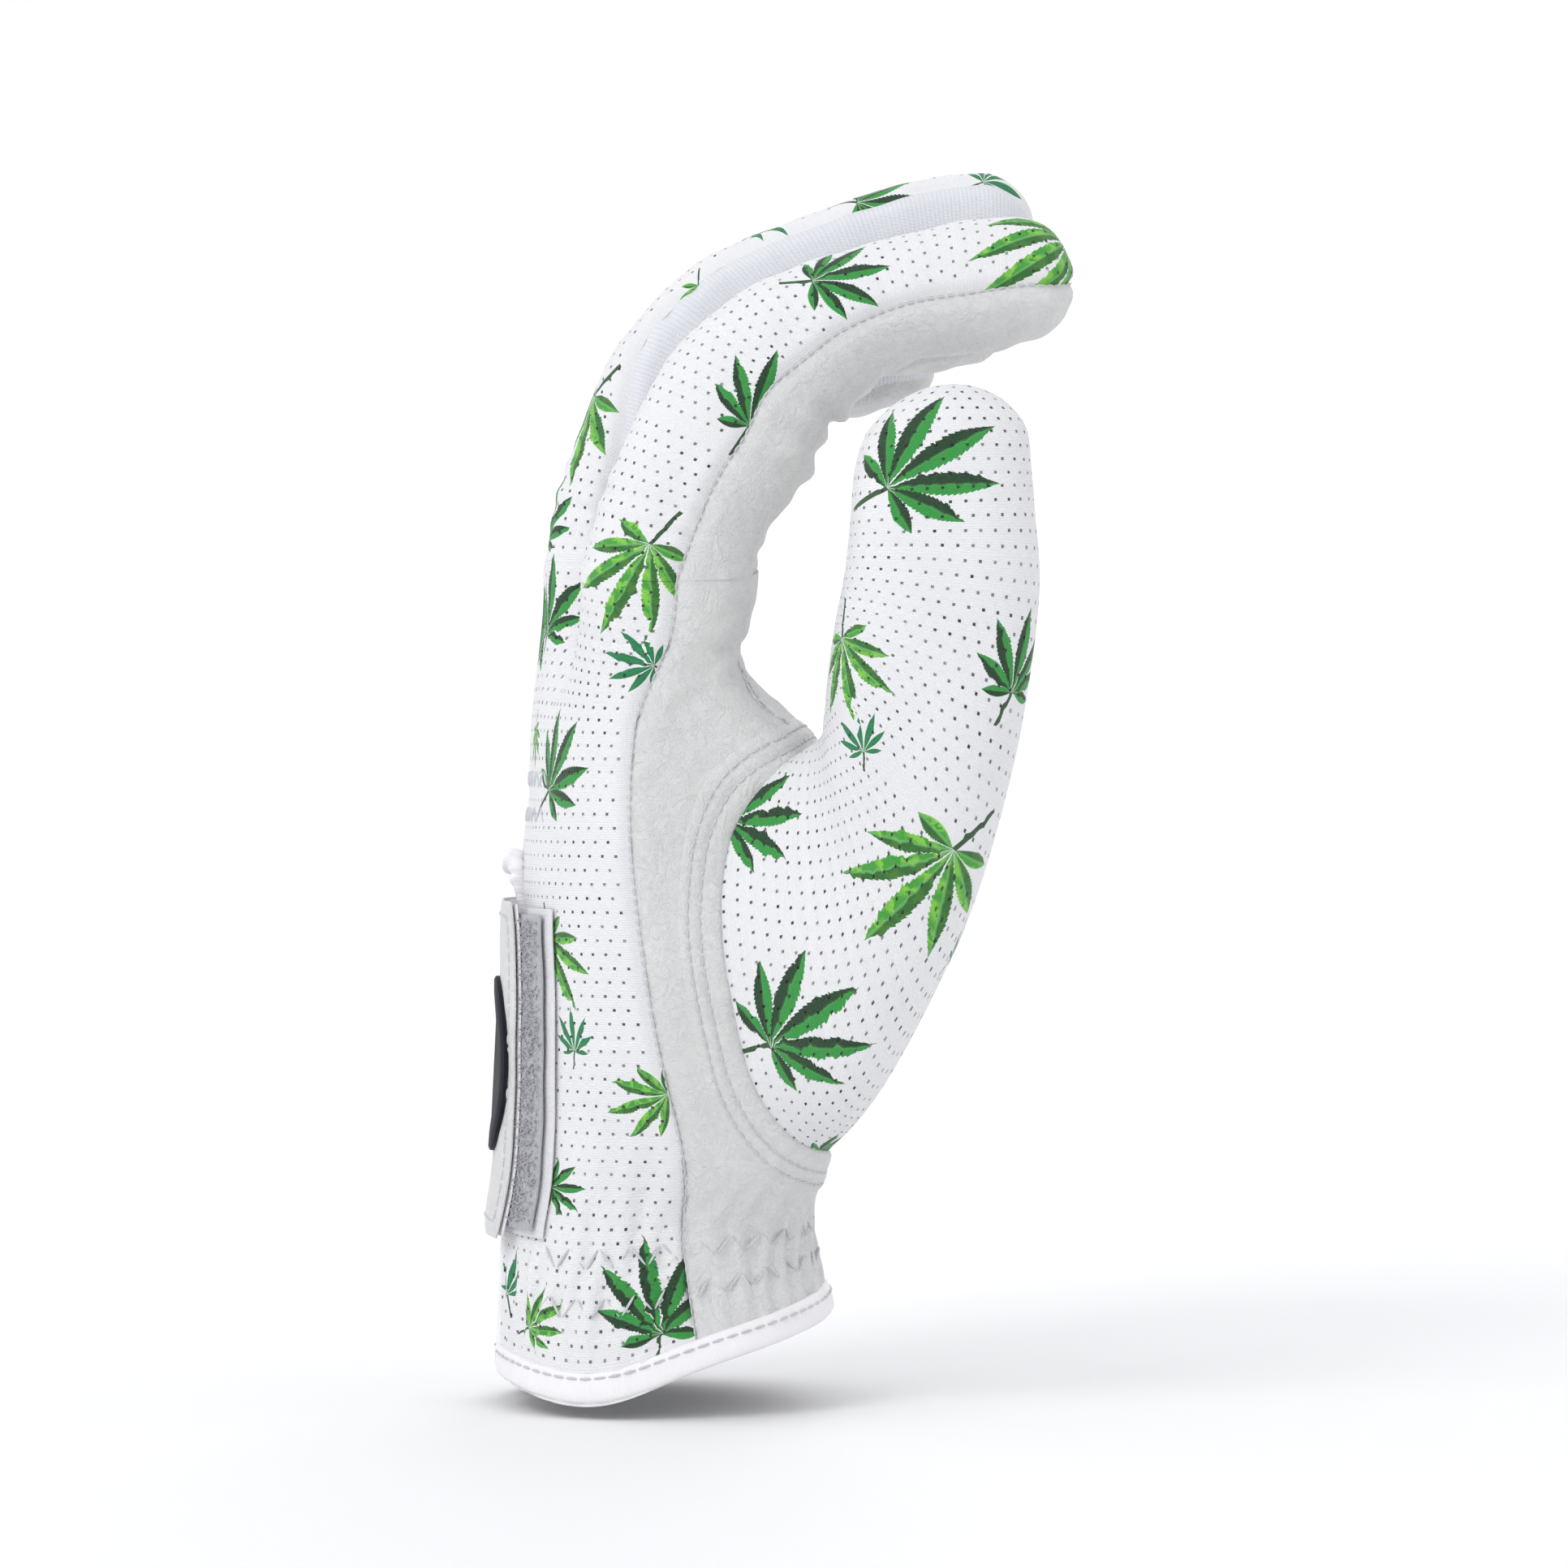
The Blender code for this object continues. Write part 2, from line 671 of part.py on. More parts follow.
def main():
    clear_scene()
    make_fingers()
    make_knuckle_gussets()
    make_hand(make_thumb())
    make_vent_binding()
    make_closure()
    make_elastics()


main()
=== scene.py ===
# %% [markdown]
# # A golf glove for the left hand
# The glove stands as if a hand filled it, with the back on the left, the palm on the right and
# the thumb nearest to us. The back is a perforated stretch mesh with a leaf print. The palm is
# thin leather. The sides of the fingers are a fine ribbed knit.
#
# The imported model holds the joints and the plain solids. We load it first and keep its box,
# because everything that we sew here has to lie inside it.

# %% Load the frame
import json
import math

import bmesh
import bpy
import numpy as np
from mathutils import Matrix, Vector


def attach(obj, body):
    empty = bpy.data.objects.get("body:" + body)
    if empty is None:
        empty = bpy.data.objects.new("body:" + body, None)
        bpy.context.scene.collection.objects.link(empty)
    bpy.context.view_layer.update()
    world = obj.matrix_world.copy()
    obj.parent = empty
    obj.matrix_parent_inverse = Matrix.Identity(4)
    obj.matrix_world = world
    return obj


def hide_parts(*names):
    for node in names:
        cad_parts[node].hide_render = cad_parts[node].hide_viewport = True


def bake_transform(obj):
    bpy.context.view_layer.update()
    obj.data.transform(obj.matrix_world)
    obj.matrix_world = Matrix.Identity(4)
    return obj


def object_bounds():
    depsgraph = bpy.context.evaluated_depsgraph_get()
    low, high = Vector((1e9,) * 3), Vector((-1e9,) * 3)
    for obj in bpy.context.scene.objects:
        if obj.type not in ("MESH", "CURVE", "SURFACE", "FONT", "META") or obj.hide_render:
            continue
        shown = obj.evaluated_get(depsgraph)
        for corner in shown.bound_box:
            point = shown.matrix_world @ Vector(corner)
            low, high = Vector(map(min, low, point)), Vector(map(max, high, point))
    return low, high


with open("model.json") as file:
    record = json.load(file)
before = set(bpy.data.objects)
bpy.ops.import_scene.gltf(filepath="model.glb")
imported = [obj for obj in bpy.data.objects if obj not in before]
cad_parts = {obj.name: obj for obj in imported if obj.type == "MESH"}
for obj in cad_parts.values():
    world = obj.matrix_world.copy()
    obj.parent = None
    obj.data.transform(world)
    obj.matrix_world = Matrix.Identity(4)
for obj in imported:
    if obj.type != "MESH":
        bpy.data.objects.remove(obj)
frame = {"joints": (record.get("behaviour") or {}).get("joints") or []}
cad_box = [list(corner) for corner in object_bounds()]
MM = 0.001
JOINTS = {joint["name"]: joint for joint in frame["joints"]}
print("CAD box in mm:", [[round(x / MM, 1) for x in corner] for corner in cad_box])


def hinge_of(joint):
    """A joint's place in millimetres."""
    return np.array(JOINTS[joint]["pos_m"]) / MM


# %% [markdown]
# ## Light, floor and camera
# White on white needs a light that falls from one side, or the shape is lost. A pale sweep
# stands behind the glove, and a long lens keeps its proportions.

# %% The studio
VIEW_TURN = math.radians(4.0)
TARGET = Vector((0.018, -0.036, 0.0976))
DISTANCE = 0.86
FRAME_WIDTH = 0.257
SENSOR = 36.0
FLOOR_HEIGHT = cad_box[0][2] - 0.002
FLAT_REACH, CURVE_RADIUS, WALL_HEIGHT, SWEEP_STEPS = 1.15, 0.9, 3.2, 48


def plain_material(name, colour, roughness):
    made = bpy.data.materials.new(name)
    made.use_nodes = True
    shader = made.node_tree.nodes["Principled BSDF"]
    shader.inputs["Base Color"].default_value = (*colour, 1.0)
    shader.inputs["Roughness"].default_value = roughness
    return made


def studio_sweep():
    """A floor that curves up into a backdrop on every side of the glove."""
    profile = [(0.0, 0.0), (FLAT_REACH, 0.0)]
    for angle in np.linspace(0.08, 1.55, 14):
        reach = FLAT_REACH + CURVE_RADIUS * math.sin(angle)
        profile.append((reach, CURVE_RADIUS - CURVE_RADIUS * math.cos(angle)))
    profile.append((FLAT_REACH + CURVE_RADIUS + 0.01, WALL_HEIGHT))
    rows = len(profile)
    points, faces = [], []
    for k in range(SWEEP_STEPS):
        turn = 2 * math.pi * k / SWEEP_STEPS
        ahead = (k + 1) % SWEEP_STEPS
        for reach, height in profile:
            points.append((reach * math.cos(turn), reach * math.sin(turn), FLOOR_HEIGHT + height))
        for r in range(rows - 1):
            faces.append((k * rows + r, ahead * rows + r, ahead * rows + r + 1, k * rows + r + 1))
    mesh = bpy.data.meshes.new("sweep")
    mesh.from_pydata(points, [], faces)
    mesh.shade_smooth()
    mesh.materials.append(plain_material("sweep_paper", (0.96, 0.96, 0.965), 0.9))
    sweep = bpy.data.objects.new("sweep", mesh)
    bpy.context.scene.collection.objects.link(sweep)


def soft_light(name, place, size, power):
    light = bpy.data.lights.new(name, "AREA")
    light.size = size
    light.energy = power
    obj = bpy.data.objects.new(name, light)
    obj.location = place
    obj.rotation_euler = (TARGET - Vector(place)).to_track_quat("-Z", "Y").to_euler()
    bpy.context.scene.collection.objects.link(obj)


studio_sweep()
soft_light("key_light", (-1.1, -1.3, 1.5), 0.9, 12.0)
soft_light("rim_light", (0.5, 1.6, 1.3), 1.0, 6.0)
world = bpy.data.worlds.new("studio")
world.use_nodes = True
world.node_tree.nodes["Background"].inputs["Color"].default_value = (0.97, 0.98, 1.0, 1.0)
world.node_tree.nodes["Background"].inputs["Strength"].default_value = 0.88
bpy.context.scene.world = world
bpy.context.scene.view_settings.view_transform = "Standard"
lens = bpy.data.cameras.new("camera")
lens.sensor_width = SENSOR
lens.lens = SENSOR * DISTANCE / FRAME_WIDTH
camera = bpy.data.objects.new("camera", lens)
looking = Vector((math.sin(VIEW_TURN), math.cos(VIEW_TURN), 0.0))
camera.location = TARGET - looking * DISTANCE
camera.rotation_euler = looking.to_track_quat("-Z", "Y").to_euler()
bpy.context.scene.collection.objects.link(camera)
bpy.context.scene.camera = camera
print("lens:", round(lens.lens, 1), "mm")


# %% [markdown]
# ## Node maths in plain Python
# Shaders are easier to read as sums than as wires. `Socket` wraps one output of a node, and
# the usual operators add the Math nodes for us. `Tree` is one material: its `node` method adds
# any other node, with its settings first and then what is plugged into its inputs.

# %% A small language for shaders
class Socket:
    def __init__(self, tree, output):
        self.tree = tree
        self.output = output

    def maths(self, operation, *others):
        values = {0: self}
        values.update({k + 1: other for k, other in enumerate(others)})
        return self.tree.node("ShaderNodeMath", {"operation": operation}, values)

    def __add__(self, other):
        return self.maths("ADD", other)

    def __radd__(self, other):
        return self.maths("ADD", other)

    def __sub__(self, other):
        return self.maths("SUBTRACT", other)

    def __rsub__(self, other):
        return self.maths("MULTIPLY_ADD", -1.0, other)

    def __mul__(self, other):
        return self.maths("MULTIPLY", other)

    def __rmul__(self, other):
        return self.maths("MULTIPLY", other)

    def __truediv__(self, other):
        return self.maths("DIVIDE", other)

    def __lt__(self, other):
        return self.maths("LESS_THAN", other)

    def __gt__(self, other):
        return self.maths("GREATER_THAN", other)

    def __abs__(self):
        return self.maths("ABSOLUTE")

    def max(self, other):
        return self.maths("MAXIMUM", other)

    def min(self, other):
        return self.maths("MINIMUM", other)


class Tree:
    """A material's node tree, with one method that adds any node."""

    def __init__(self, name):
        self.material = bpy.data.materials.new(name)
        self.material.use_nodes = True
        self.nodes = self.material.node_tree.nodes
        self.links = self.material.node_tree.links
        self.shader = self.nodes["Principled BSDF"]

    def node(self, kind, settings=None, values=None, out=0):
        made = self.nodes.new(kind)
        for key, value in (settings or {}).items():
            setattr(made, key, value)
        for key, value in (values or {}).items():
            self.plug(made.inputs[key], value)
        return Socket(self, made.outputs[out])

    def plug(self, socket, value):
        if isinstance(value, Socket):
            self.links.new(value.output, socket)
        else:
            socket.default_value = value

    def mix(self, factor, low, high):
        """A colour between two others."""
        made = self.nodes.new("ShaderNodeMix")
        made.data_type = "RGBA"
        self.plug(made.inputs[0], factor)
        self.plug(made.inputs[6], low)
        self.plug(made.inputs[7], high)
        return Socket(self, made.outputs[2])

    def attribute(self, name, out=2):
        """A value that the mesh carries; out 1 is a vector and 2 a number."""
        return self.node("ShaderNodeAttribute", {"attribute_name": name}, out=out)

    def uv(self, name):
        """The two coordinates of a UV map as numbers, and both as one vector."""
        vector = self.node("ShaderNodeUVMap", {"uv_map": name})
        made = self.nodes.new("ShaderNodeSeparateXYZ")
        self.links.new(vector.output, made.inputs[0])
        return Socket(self, made.outputs[0]), Socket(self, made.outputs[1]), vector

    def finish(self, colour, roughness, height=None, distance=0.0001, strength=1.0):
        self.plug(self.shader.inputs["Base Color"], colour)
        self.plug(self.shader.inputs["Roughness"], roughness)
        if height is not None:
            values = {"Height": height, "Distance": distance, "Strength": strength}
            bump = self.node("ShaderNodeBump", {}, values)
            self.links.new(bump.output, self.shader.inputs["Normal"])
        return self.material


def rgb(red, green, blue):
    """A colour from the usual 0 to 255 numbers, made linear."""
    parts = (red, green, blue)
    linear = [((c / 255 + 0.055) / 1.055) ** 2.4 if c > 10 else c / 3294.6 for c in parts]
    return (*linear, 1.0)


print("a mid grey, made linear:", round(rgb(128, 128, 128)[0], 3))


# %% [markdown]
# ## Plain finishes
# Leather has a fine grain of pebbles and a few soft creases, and painted shade darkens the
# creases. The knits and tapes are rows of loops. All of them are procedural: noise and cells for
# what has no order, and a sine along the cloth for what does. What the eye reads as fabric is
# mostly the bump, so the colours stay pale.

# %% Leather, knits, tape and thread
def leather_finish():
    tree = Tree("white_leather")
    place = tree.node("ShaderNodeTexCoord", out=3)
    grain = tree.node(
        "ShaderNodeTexVoronoi",
        {"feature": "DISTANCE_TO_EDGE"},
        {"Vector": place, "Scale": 2600.0},
    )
    pores = tree.node(
        "ShaderNodeTexNoise", {}, {"Vector": place, "Scale": 900.0, "Detail": 3.0}
    )
    cloud = tree.node("ShaderNodeTexNoise", {}, {"Vector": place, "Scale": 60.0, "Detail": 4.0})
    crease = tree.node(
        "ShaderNodeTexNoise",
        {},
        {"Vector": place, "Scale": 330.0, "Detail": 5.0, "Distortion": 0.8},
    )
    fold = abs(crease - 0.5) * 9.0
    tone = tree.mix(cloud, rgb(221, 221, 221), rgb(234, 234, 233))
    # Painted shade darkens the creases, where the bump dips, and the pores' grain shifts the tone a
    # little.
    crease_shade_and_grain = (1.0 - fold.min(1.0)) * 0.1 + (pores - 0.5) * 0.25
    tone = tree.mix(crease_shade_and_grain.max(0.0), tone, rgb(184, 185, 186))
    height = grain.min(0.25) * 1.6 + pores * 0.9 + fold.min(1.0) * 0.7
    tree.shader.inputs["Specular IOR Level"].default_value = 0.35
    return tree.finish(tone, pores * 0.2 + 0.42, height, 0.00022, 0.8)


def knit_finish():
    tree = Tree("ribbed_knit")
    across, along, _ = tree.uv("cloth")
    rib = (along * 9.0).maths("SINE") * 0.5 + 0.5
    loop = (across * 11.0 + (along * 4.5).maths("SINE") * 1.5).maths("SINE") * 0.5 + 0.5
    place = tree.node("ShaderNodeTexCoord", out=3)
    cloud = tree.node("ShaderNodeTexNoise", {}, {"Vector": place, "Scale": 90.0, "Detail": 3.0})
    tone = tree.mix(cloud, rgb(222, 224, 229), rgb(236, 237, 241))
    tone = tree.mix(rib * 0.35, tone, rgb(206, 208, 214))
    tree.shader.inputs["Sheen Weight"].default_value = 0.25
    return tree.finish(tone, 0.85, rib + loop * 0.5, 0.00012, 0.7)


def satin_finish(name, low, high, roughness, rib_scale):
    tree = Tree(name)
    across, _, _ = tree.uv("cloth")
    rib = (across * rib_scale).maths("SINE") * 0.5 + 0.5
    place = tree.node("ShaderNodeTexCoord", out=3)
    cloud = tree.node("ShaderNodeTexNoise", {}, {"Vector": place, "Scale": 240.0, "Detail": 3.0})
    tone = tree.mix(cloud, low, high)
    tree.shader.inputs["Sheen Weight"].default_value = 0.2
    return tree.finish(tone, roughness, rib + cloud, 0.00008, 0.5)


def tape_finish(name, low, high):
    tree = Tree(name)
    place = tree.node("ShaderNodeTexCoord", out=3)
    fuzz = tree.node("ShaderNodeTexNoise", {}, {"Vector": place, "Scale": 2200.0, "Detail": 4.0})
    return tree.finish(tree.mix(fuzz, low, high), 0.7, fuzz, 0.0003, 0.8)


def thread_finish():
    tree = Tree("polyester_thread")
    place = tree.node("ShaderNodeTexCoord", out=3)
    twist = tree.node("ShaderNodeTexNoise", {}, {"Vector": place, "Scale": 3000.0, "Detail": 2.0})
    tone = tree.mix(twist, rgb(176, 179, 184), rgb(226, 228, 231))
    return tree.finish(tone, 0.6, twist, 0.00005, 0.6)


def rubber_finish():
    tree = Tree("badge_rubber_black")
    place = tree.node("ShaderNodeTexCoord", out=3)
    dust = tree.node("ShaderNodeTexNoise", {}, {"Vector": place, "Scale": 700.0, "Detail": 5.0})
    tone = tree.mix(dust, rgb(14, 16, 23), rgb(34, 37, 47))
    tree.shader.inputs["Specular IOR Level"].default_value = 0.2
    return tree.finish(tone, dust * 0.25 + 0.5, dust, 0.00005, 0.5)


# %% [markdown]
# ## The printed mesh
# The print is drawn, not painted on an image. Each face of the mesh knows where it lies on the
# nearest leaf, in the UV map `leaf`, and the shader draws seven serrated leaflets round that
# leaf's centre. One half of each leaflet is darker, as if the leaf were folded along its rib.

# %% Leaves and knit in one shader
# Angles in degrees from the leaf's own upright, with the length of each leaflet.
LEAFLETS = ((0, 1.0), (31, 0.9), (-31, 0.9), (60, 0.68), (-60, 0.68), (98, 0.42), (-98, 0.42))


def leaflet_masks(tree, across, along, width):
    """Masks of all leaflets and of their shaded halves, from coordinates on one leaf."""
    whole, shaded, rib = None, None, None
    for degrees, length in LEAFLETS:
        turn = math.radians(degrees)
        out = across * math.sin(turn) + along * math.cos(turn)
        side = across * math.cos(turn) - along * math.sin(turn)
        share = out / length
        # A leaflet is slim at both ends and widest past its middle; its edge is a fine saw.
        bulge = (share * (1.0 - share) * 4.0).max(0.0).maths("POWER", 1.25)
        bulge = bulge * (share * 0.5 + 0.75)
        saw = (share * 19.0).maths("FRACT")
        edge = bulge * width * (1.0 - saw * 0.16) * (0.45 + 0.55 * length)
        inside = (edge > abs(side)) * (bulge > 0.01)
        half = inside * (side < 0.0)
        vein = inside * (abs(side) < 0.011)
        whole = inside if whole is None else whole.max(inside)
        shaded = half if shaded is None else shaded.max(half)
        rib = vein if rib is None else rib.max(vein)
    return whole, shaded, rib


def mesh_finish():
    tree = Tree("printed_mesh")
    across, along, _ = tree.uv("cloth")
    leaf_across, leaf_along, leaf_vector = tree.uv("leaf")
    kind = tree.attribute("leaf_kind")
    pit = tree.attribute("pit")
    wide = kind.maths("COMPARE", 1.0, 0.5)
    slim = kind.maths("COMPARE", 2.0, 0.5)
    whole, shaded, rib = leaflet_masks(
        tree, leaf_across, leaf_along, 0.108 - wide * 0.008 - slim * 0.024
    )
    stem = (abs(leaf_across - leaf_along * 0.25) < 0.022) * (leaf_along < 0.0)
    stem = stem * (leaf_along > -0.42)
    paint = tree.node(
        "ShaderNodeTexNoise", {}, {"Vector": leaf_vector, "Scale": 9.0, "Detail": 5.0}
    )
    bands = ((leaf_along * 34.0 + paint * 9.0).maths("SINE") * 0.5 + 0.5) * (paint > 0.45)
    flat = tree.mix(shaded, rgb(52, 150, 66), rgb(30, 56, 36))
    flat = tree.mix(shaded * paint * 0.25, flat, rgb(46, 110, 56))
    brush = tree.mix(bands, rgb(70, 158, 62), rgb(132, 204, 74))
    brush = tree.mix(shaded * 0.8, brush, rgb(42, 92, 44))
    fine = tree.mix(paint, rgb(28, 112, 70), rgb(40, 140, 86))
    leaf = tree.mix(wide, flat, brush)
    leaf = tree.mix(slim, leaf, fine)
    leaf = tree.mix(rib * (wide * 0.45 + 0.12), leaf, rgb(120, 190, 112))
    place = tree.node("ShaderNodeTexCoord", out=3)
    cloud = tree.node("ShaderNodeTexNoise", {}, {"Vector": place, "Scale": 70.0, "Detail": 3.0})
    course = (along * 15.7).maths("SINE") * 0.5 + 0.5
    wale = (across * 12.0 + (along * 7.85).maths("SINE") * 1.2).maths("SINE") * 0.5 + 0.5
    cloth = tree.mix(cloud, rgb(234, 234, 236), rgb(243, 243, 244))
    cloth = tree.mix(course * 0.22, cloth, rgb(222, 223, 229))
    colour = tree.mix(stem, cloth, rgb(58, 90, 58))
    colour = tree.mix(whole, colour, leaf)
    # Painted shade: the pits, holes and walls alike, are darkened by an amount that wanders, standing
    # in for the shade inside the glove.
    shade = tree.node("ShaderNodeTexNoise", {}, {"Vector": place, "Scale": 160.0, "Detail": 2.0})
    depth = ((shade - 0.36) * 3.2).max(0.25).min(1.0)
    colour = tree.mix(pit * depth, colour, rgb(112, 106, 108))
    tree.shader.inputs["Sheen Weight"].default_value = 0.15
    return tree.finish(colour, 0.82, course + wale * 0.6, 0.0001, 0.6)


# %% [markdown]
# ## One finish for each slot
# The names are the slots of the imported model, so that a buyer of the part can swap a finish.

# %% All finishes
BINDING_TONES = (rgb(242, 240, 244), rgb(250, 249, 252))
ELASTIC_TONES = (rgb(224, 225, 228), rgb(240, 240, 243))
HOOK_TONES = (rgb(150, 150, 156), rgb(204, 204, 209))
LOOP_TONES = (rgb(214, 214, 218), rgb(240, 240, 243))
FINISH = {
    "leather": leather_finish(),
    "mesh_knit": mesh_finish(),
    "fine_knit": knit_finish(),
    "binding": satin_finish("satin_binding", *BINDING_TONES, 0.5, 9.0),
    "elastic": satin_finish("woven_elastic", *ELASTIC_TONES, 0.75, 14.0),
    "hook_tape": tape_finish("hook_tape_grey", *HOOK_TONES),
    "loop_tape": tape_finish("loop_tape_white", *LOOP_TONES),
    "thread": thread_finish(),
    "badge_rubber": rubber_finish(),
}
print("finishes:", ", ".join(FINISH))


# %% [markdown]
# ## Tubes from rings
# A glove is tubes: one flat one for the hand and one for each finger. A ring is an oval
# between a point on the palm side and a point on the back, and a smooth curve through the
# rings gives the tube. Angles run from 0 on the palm side, by 90 on the thumb side, to 180 on
# the back.

# %% Rings and smooth tubes
SQUARENESS = 2.35  # 2 is a true ellipse, and more is squarer


def squarish(angle, power=SQUARENESS):
    """How far forward and how far across a squarish oval goes at an angle, from -1 to 1."""
    forward, across = np.cos(angle), np.sin(angle)
    forward = np.sign(forward) * np.abs(forward) ** (2 / power)
    return forward, np.sign(across) * np.abs(across) ** (2 / power)


def oval(palm, back, half, side, degrees):
    """Points of an oval, one for each angle."""
    palm, back, side = (np.array(v, float) for v in (palm, back, side))
    forward, across = squarish(np.radians(np.asarray(degrees, float)))
    middle, reach = (palm + back) / 2, (palm - back) / 2
    return middle + forward[:, None] * reach - across[:, None] * (side * half)


def walked(points):
    """The distance walked along a line of points, at each of them."""
    steps = np.linalg.norm(np.diff(points, axis=0), axis=1)
    return np.concatenate([[0], np.cumsum(steps)])


def smooth_rows(rows, places):
    """Catmull-Rom through rows of points, read at fractional row numbers."""
    rows = np.asarray(rows, float)
    places = np.clip(np.asarray(places, float), 0, len(rows) - 1)
    low = np.minimum(places.astype(int), len(rows) - 2)
    t = (places - low).reshape((-1,) + (1,) * (rows.ndim - 1))
    before = rows[np.maximum(low - 1, 0)]
    start, end = rows[low], rows[low + 1]
    after = rows[np.minimum(low + 2, len(rows) - 1)]
    return 0.5 * (
        2 * start
        + (end - before) * t
        + (2 * before - 5 * start + 4 * end - after) * t**2
        + (3 * start - before - 3 * end + after) * t**3
    )


def even_places(rows, step):
    """Fractional row numbers that walk along the middle of a tube in equal steps."""
    fine = np.linspace(0, len(rows) - 1, 40 * len(rows))
    middle = smooth_rows(np.mean(rows, axis=1), fine)
    length = walked(middle)
    count = max(4, round(length[-1] / step))
    return np.interp(np.linspace(0, length[-1], count + 1), length, fine)


def normals_of(grid, inside):
    """Unit normals of a grid of points that look away from a set of inner points."""
    along = np.gradient(grid, axis=0)
    across = np.gradient(grid, axis=1)
    normal = np.cross(across, along)
    normal /= np.maximum(np.linalg.norm(normal, axis=2, keepdims=True), 1e-9)
    if np.sum(normal * (grid - inside)) < 0:
        normal = -normal
    return normal


def bump(values, middle, width):
    """A smooth hill of height 1."""
    return np.exp(-(((values - middle) / width) ** 2))


def smooth_step(values, low, high):
    """0 below `low`, 1 above `high`, and a soft slope between them."""
    t = np.clip((values - low) / (high - low), 0, 1)
    return t * t * (3 - 2 * t)


girth = walked(oval((10, 0, 0), (-10, 0, 0), 15, (0, 1, 0), np.arange(0, 361, 3)))[-1]
print("an oval of 20 by 30 mm is", round(girth, 1), "mm round")


# %% [markdown]
# ## The leaves of the print
# A print is cut with the cloth, so its leaves run off at the seams. Each leaf here is a place, a
# size, a turn and a kind. Kind 0 is flat and two-toned, 1 is painted with light strokes, and 2
# is small and slim. The place is moved to the nearest cloth, which also gives the leaf its
# plane. The leaves on the sides that face away are spread out.

# %% Where the leaves lie
# Place in mm, length of the longest leaflet in mm, turn in degrees, kind.
LEAVES = (
    # Thumb.
    ((32.0, -75, 144.4), 20.0, 54, 0), ((25.8, -75, 121.0), 14.5, 170, 1),
    ((52.6, -75, 112.4), 14.0, 10, 0), ((28.8, -75, 102.6), 7.5, -10, 2),
    ((43.8, -75, 87.4), 21.0, -145, 1), ((8.6, -60, 91.1), 15.0, 85, 0),
    ((15.7, -60, 54.8), 21.0, 62, 0), ((23.3, -60, 35.6), 10.0, 15, 0),
    # Back of the hand, as seen from the thumb side.
    ((-20.3, -60, 96.4), 15.7, 43, 0), ((-26.0, -60, 107.0), 7.0, 170, 1),
    ((-20.2, -60, 123.0), 13.5, 10, 0), ((-3.6, -60, 116.6), 9.0, -75, 2),
    ((-20.3, -60, 72.5), 14.0, 150, 1), ((-16.0, -60, 54.0), 7.5, 0, 2),
    ((-0.9, -60, 46.6), 10.8, -110, 1), ((-20.0, -60, 31.0), 8.0, 90, 0),
    ((-2.4, -60, 6.7), 16.6, -10, 0), ((-23.3, -60, 7.3), 9.3, 60, 1),
    # Index and middle finger, as seen from the thumb side.
    ((-4.7, -60, 136.6), 17.0, -150, 1), ((11.7, -60, 155.6), 13.3, 20, 0),
    ((22.6, -60, 179.6), 13.0, 75, 0), ((65.0, -60, 186.5), 21.0, -95, 1),
    ((-14.0, -14.0, 163.0), 18.0, -155, 1), ((30.6, -20, 199.5), 13.0, 75, 0),
    ((53.2, -18, 200.0), 9.0, 60, 2), ((4.0, -20, 182.0), 7.0, 160, 1),
    # The sides that face away.
    ((-28, -2, 118.0), 9.0, -25, 2), ((-30, 6, 121.0), 14.0, 30, 0),
    ((-30, 30, 120.0), 13.0, -20, 1), ((-30, 36, 92.0), 14.0, 10, 0),
    ((-30, 10, 105.0), 8.0, -30, 2), ((-30, 37, 62.0), 15.0, -12, 1),
    ((-30, 34, 32.0), 13.0, 5, 0), ((-30, 22, 9.0), 11.0, 25, 1),
    ((-30, -14, 12.0), 9.0, -20, 2), ((-28, -11, 140.0), 12.0, 12, 0),
    ((-28, 12, 147.0), 14.0, -10, 1), ((-20, 31, 146.0), 12.0, 8, 0),
    ((-14, 11, 172.0), 12.0, 15, 0), ((0, 31, 172.0), 9.0, -10, 2),
    ((14, 11, 195.0), 13.0, 20, 1), ((38, 11, 205.0), 12.0, -20, 0),
    ((22, 31, 190.0), 12.0, 15, 0), ((12, -11, 195.0), 10.0, 20, 2),
    ((-15, 60, 20.0), 9.0, 0, 2), ((52, -90, 66.0), 9.0, 30, 2),
)
FAR = 4.0  # leaf coordinates of cloth that no leaf covers
LEAF_REACH = 1.12
NEAR_SIDE = -40  # a place with a smaller Y is one as seen from the thumb side
print("leaves:", len(LEAVES))

# %% [markdown]
# ## Laying the leaves on the cloth
# The thumb and the fingers are round, so a flat print would smear at their edges. Each point of
# cloth measures its distance from the leaf's centre and its direction in the leaf's plane,
# which wraps the leaf round the finger with its lengths kept.

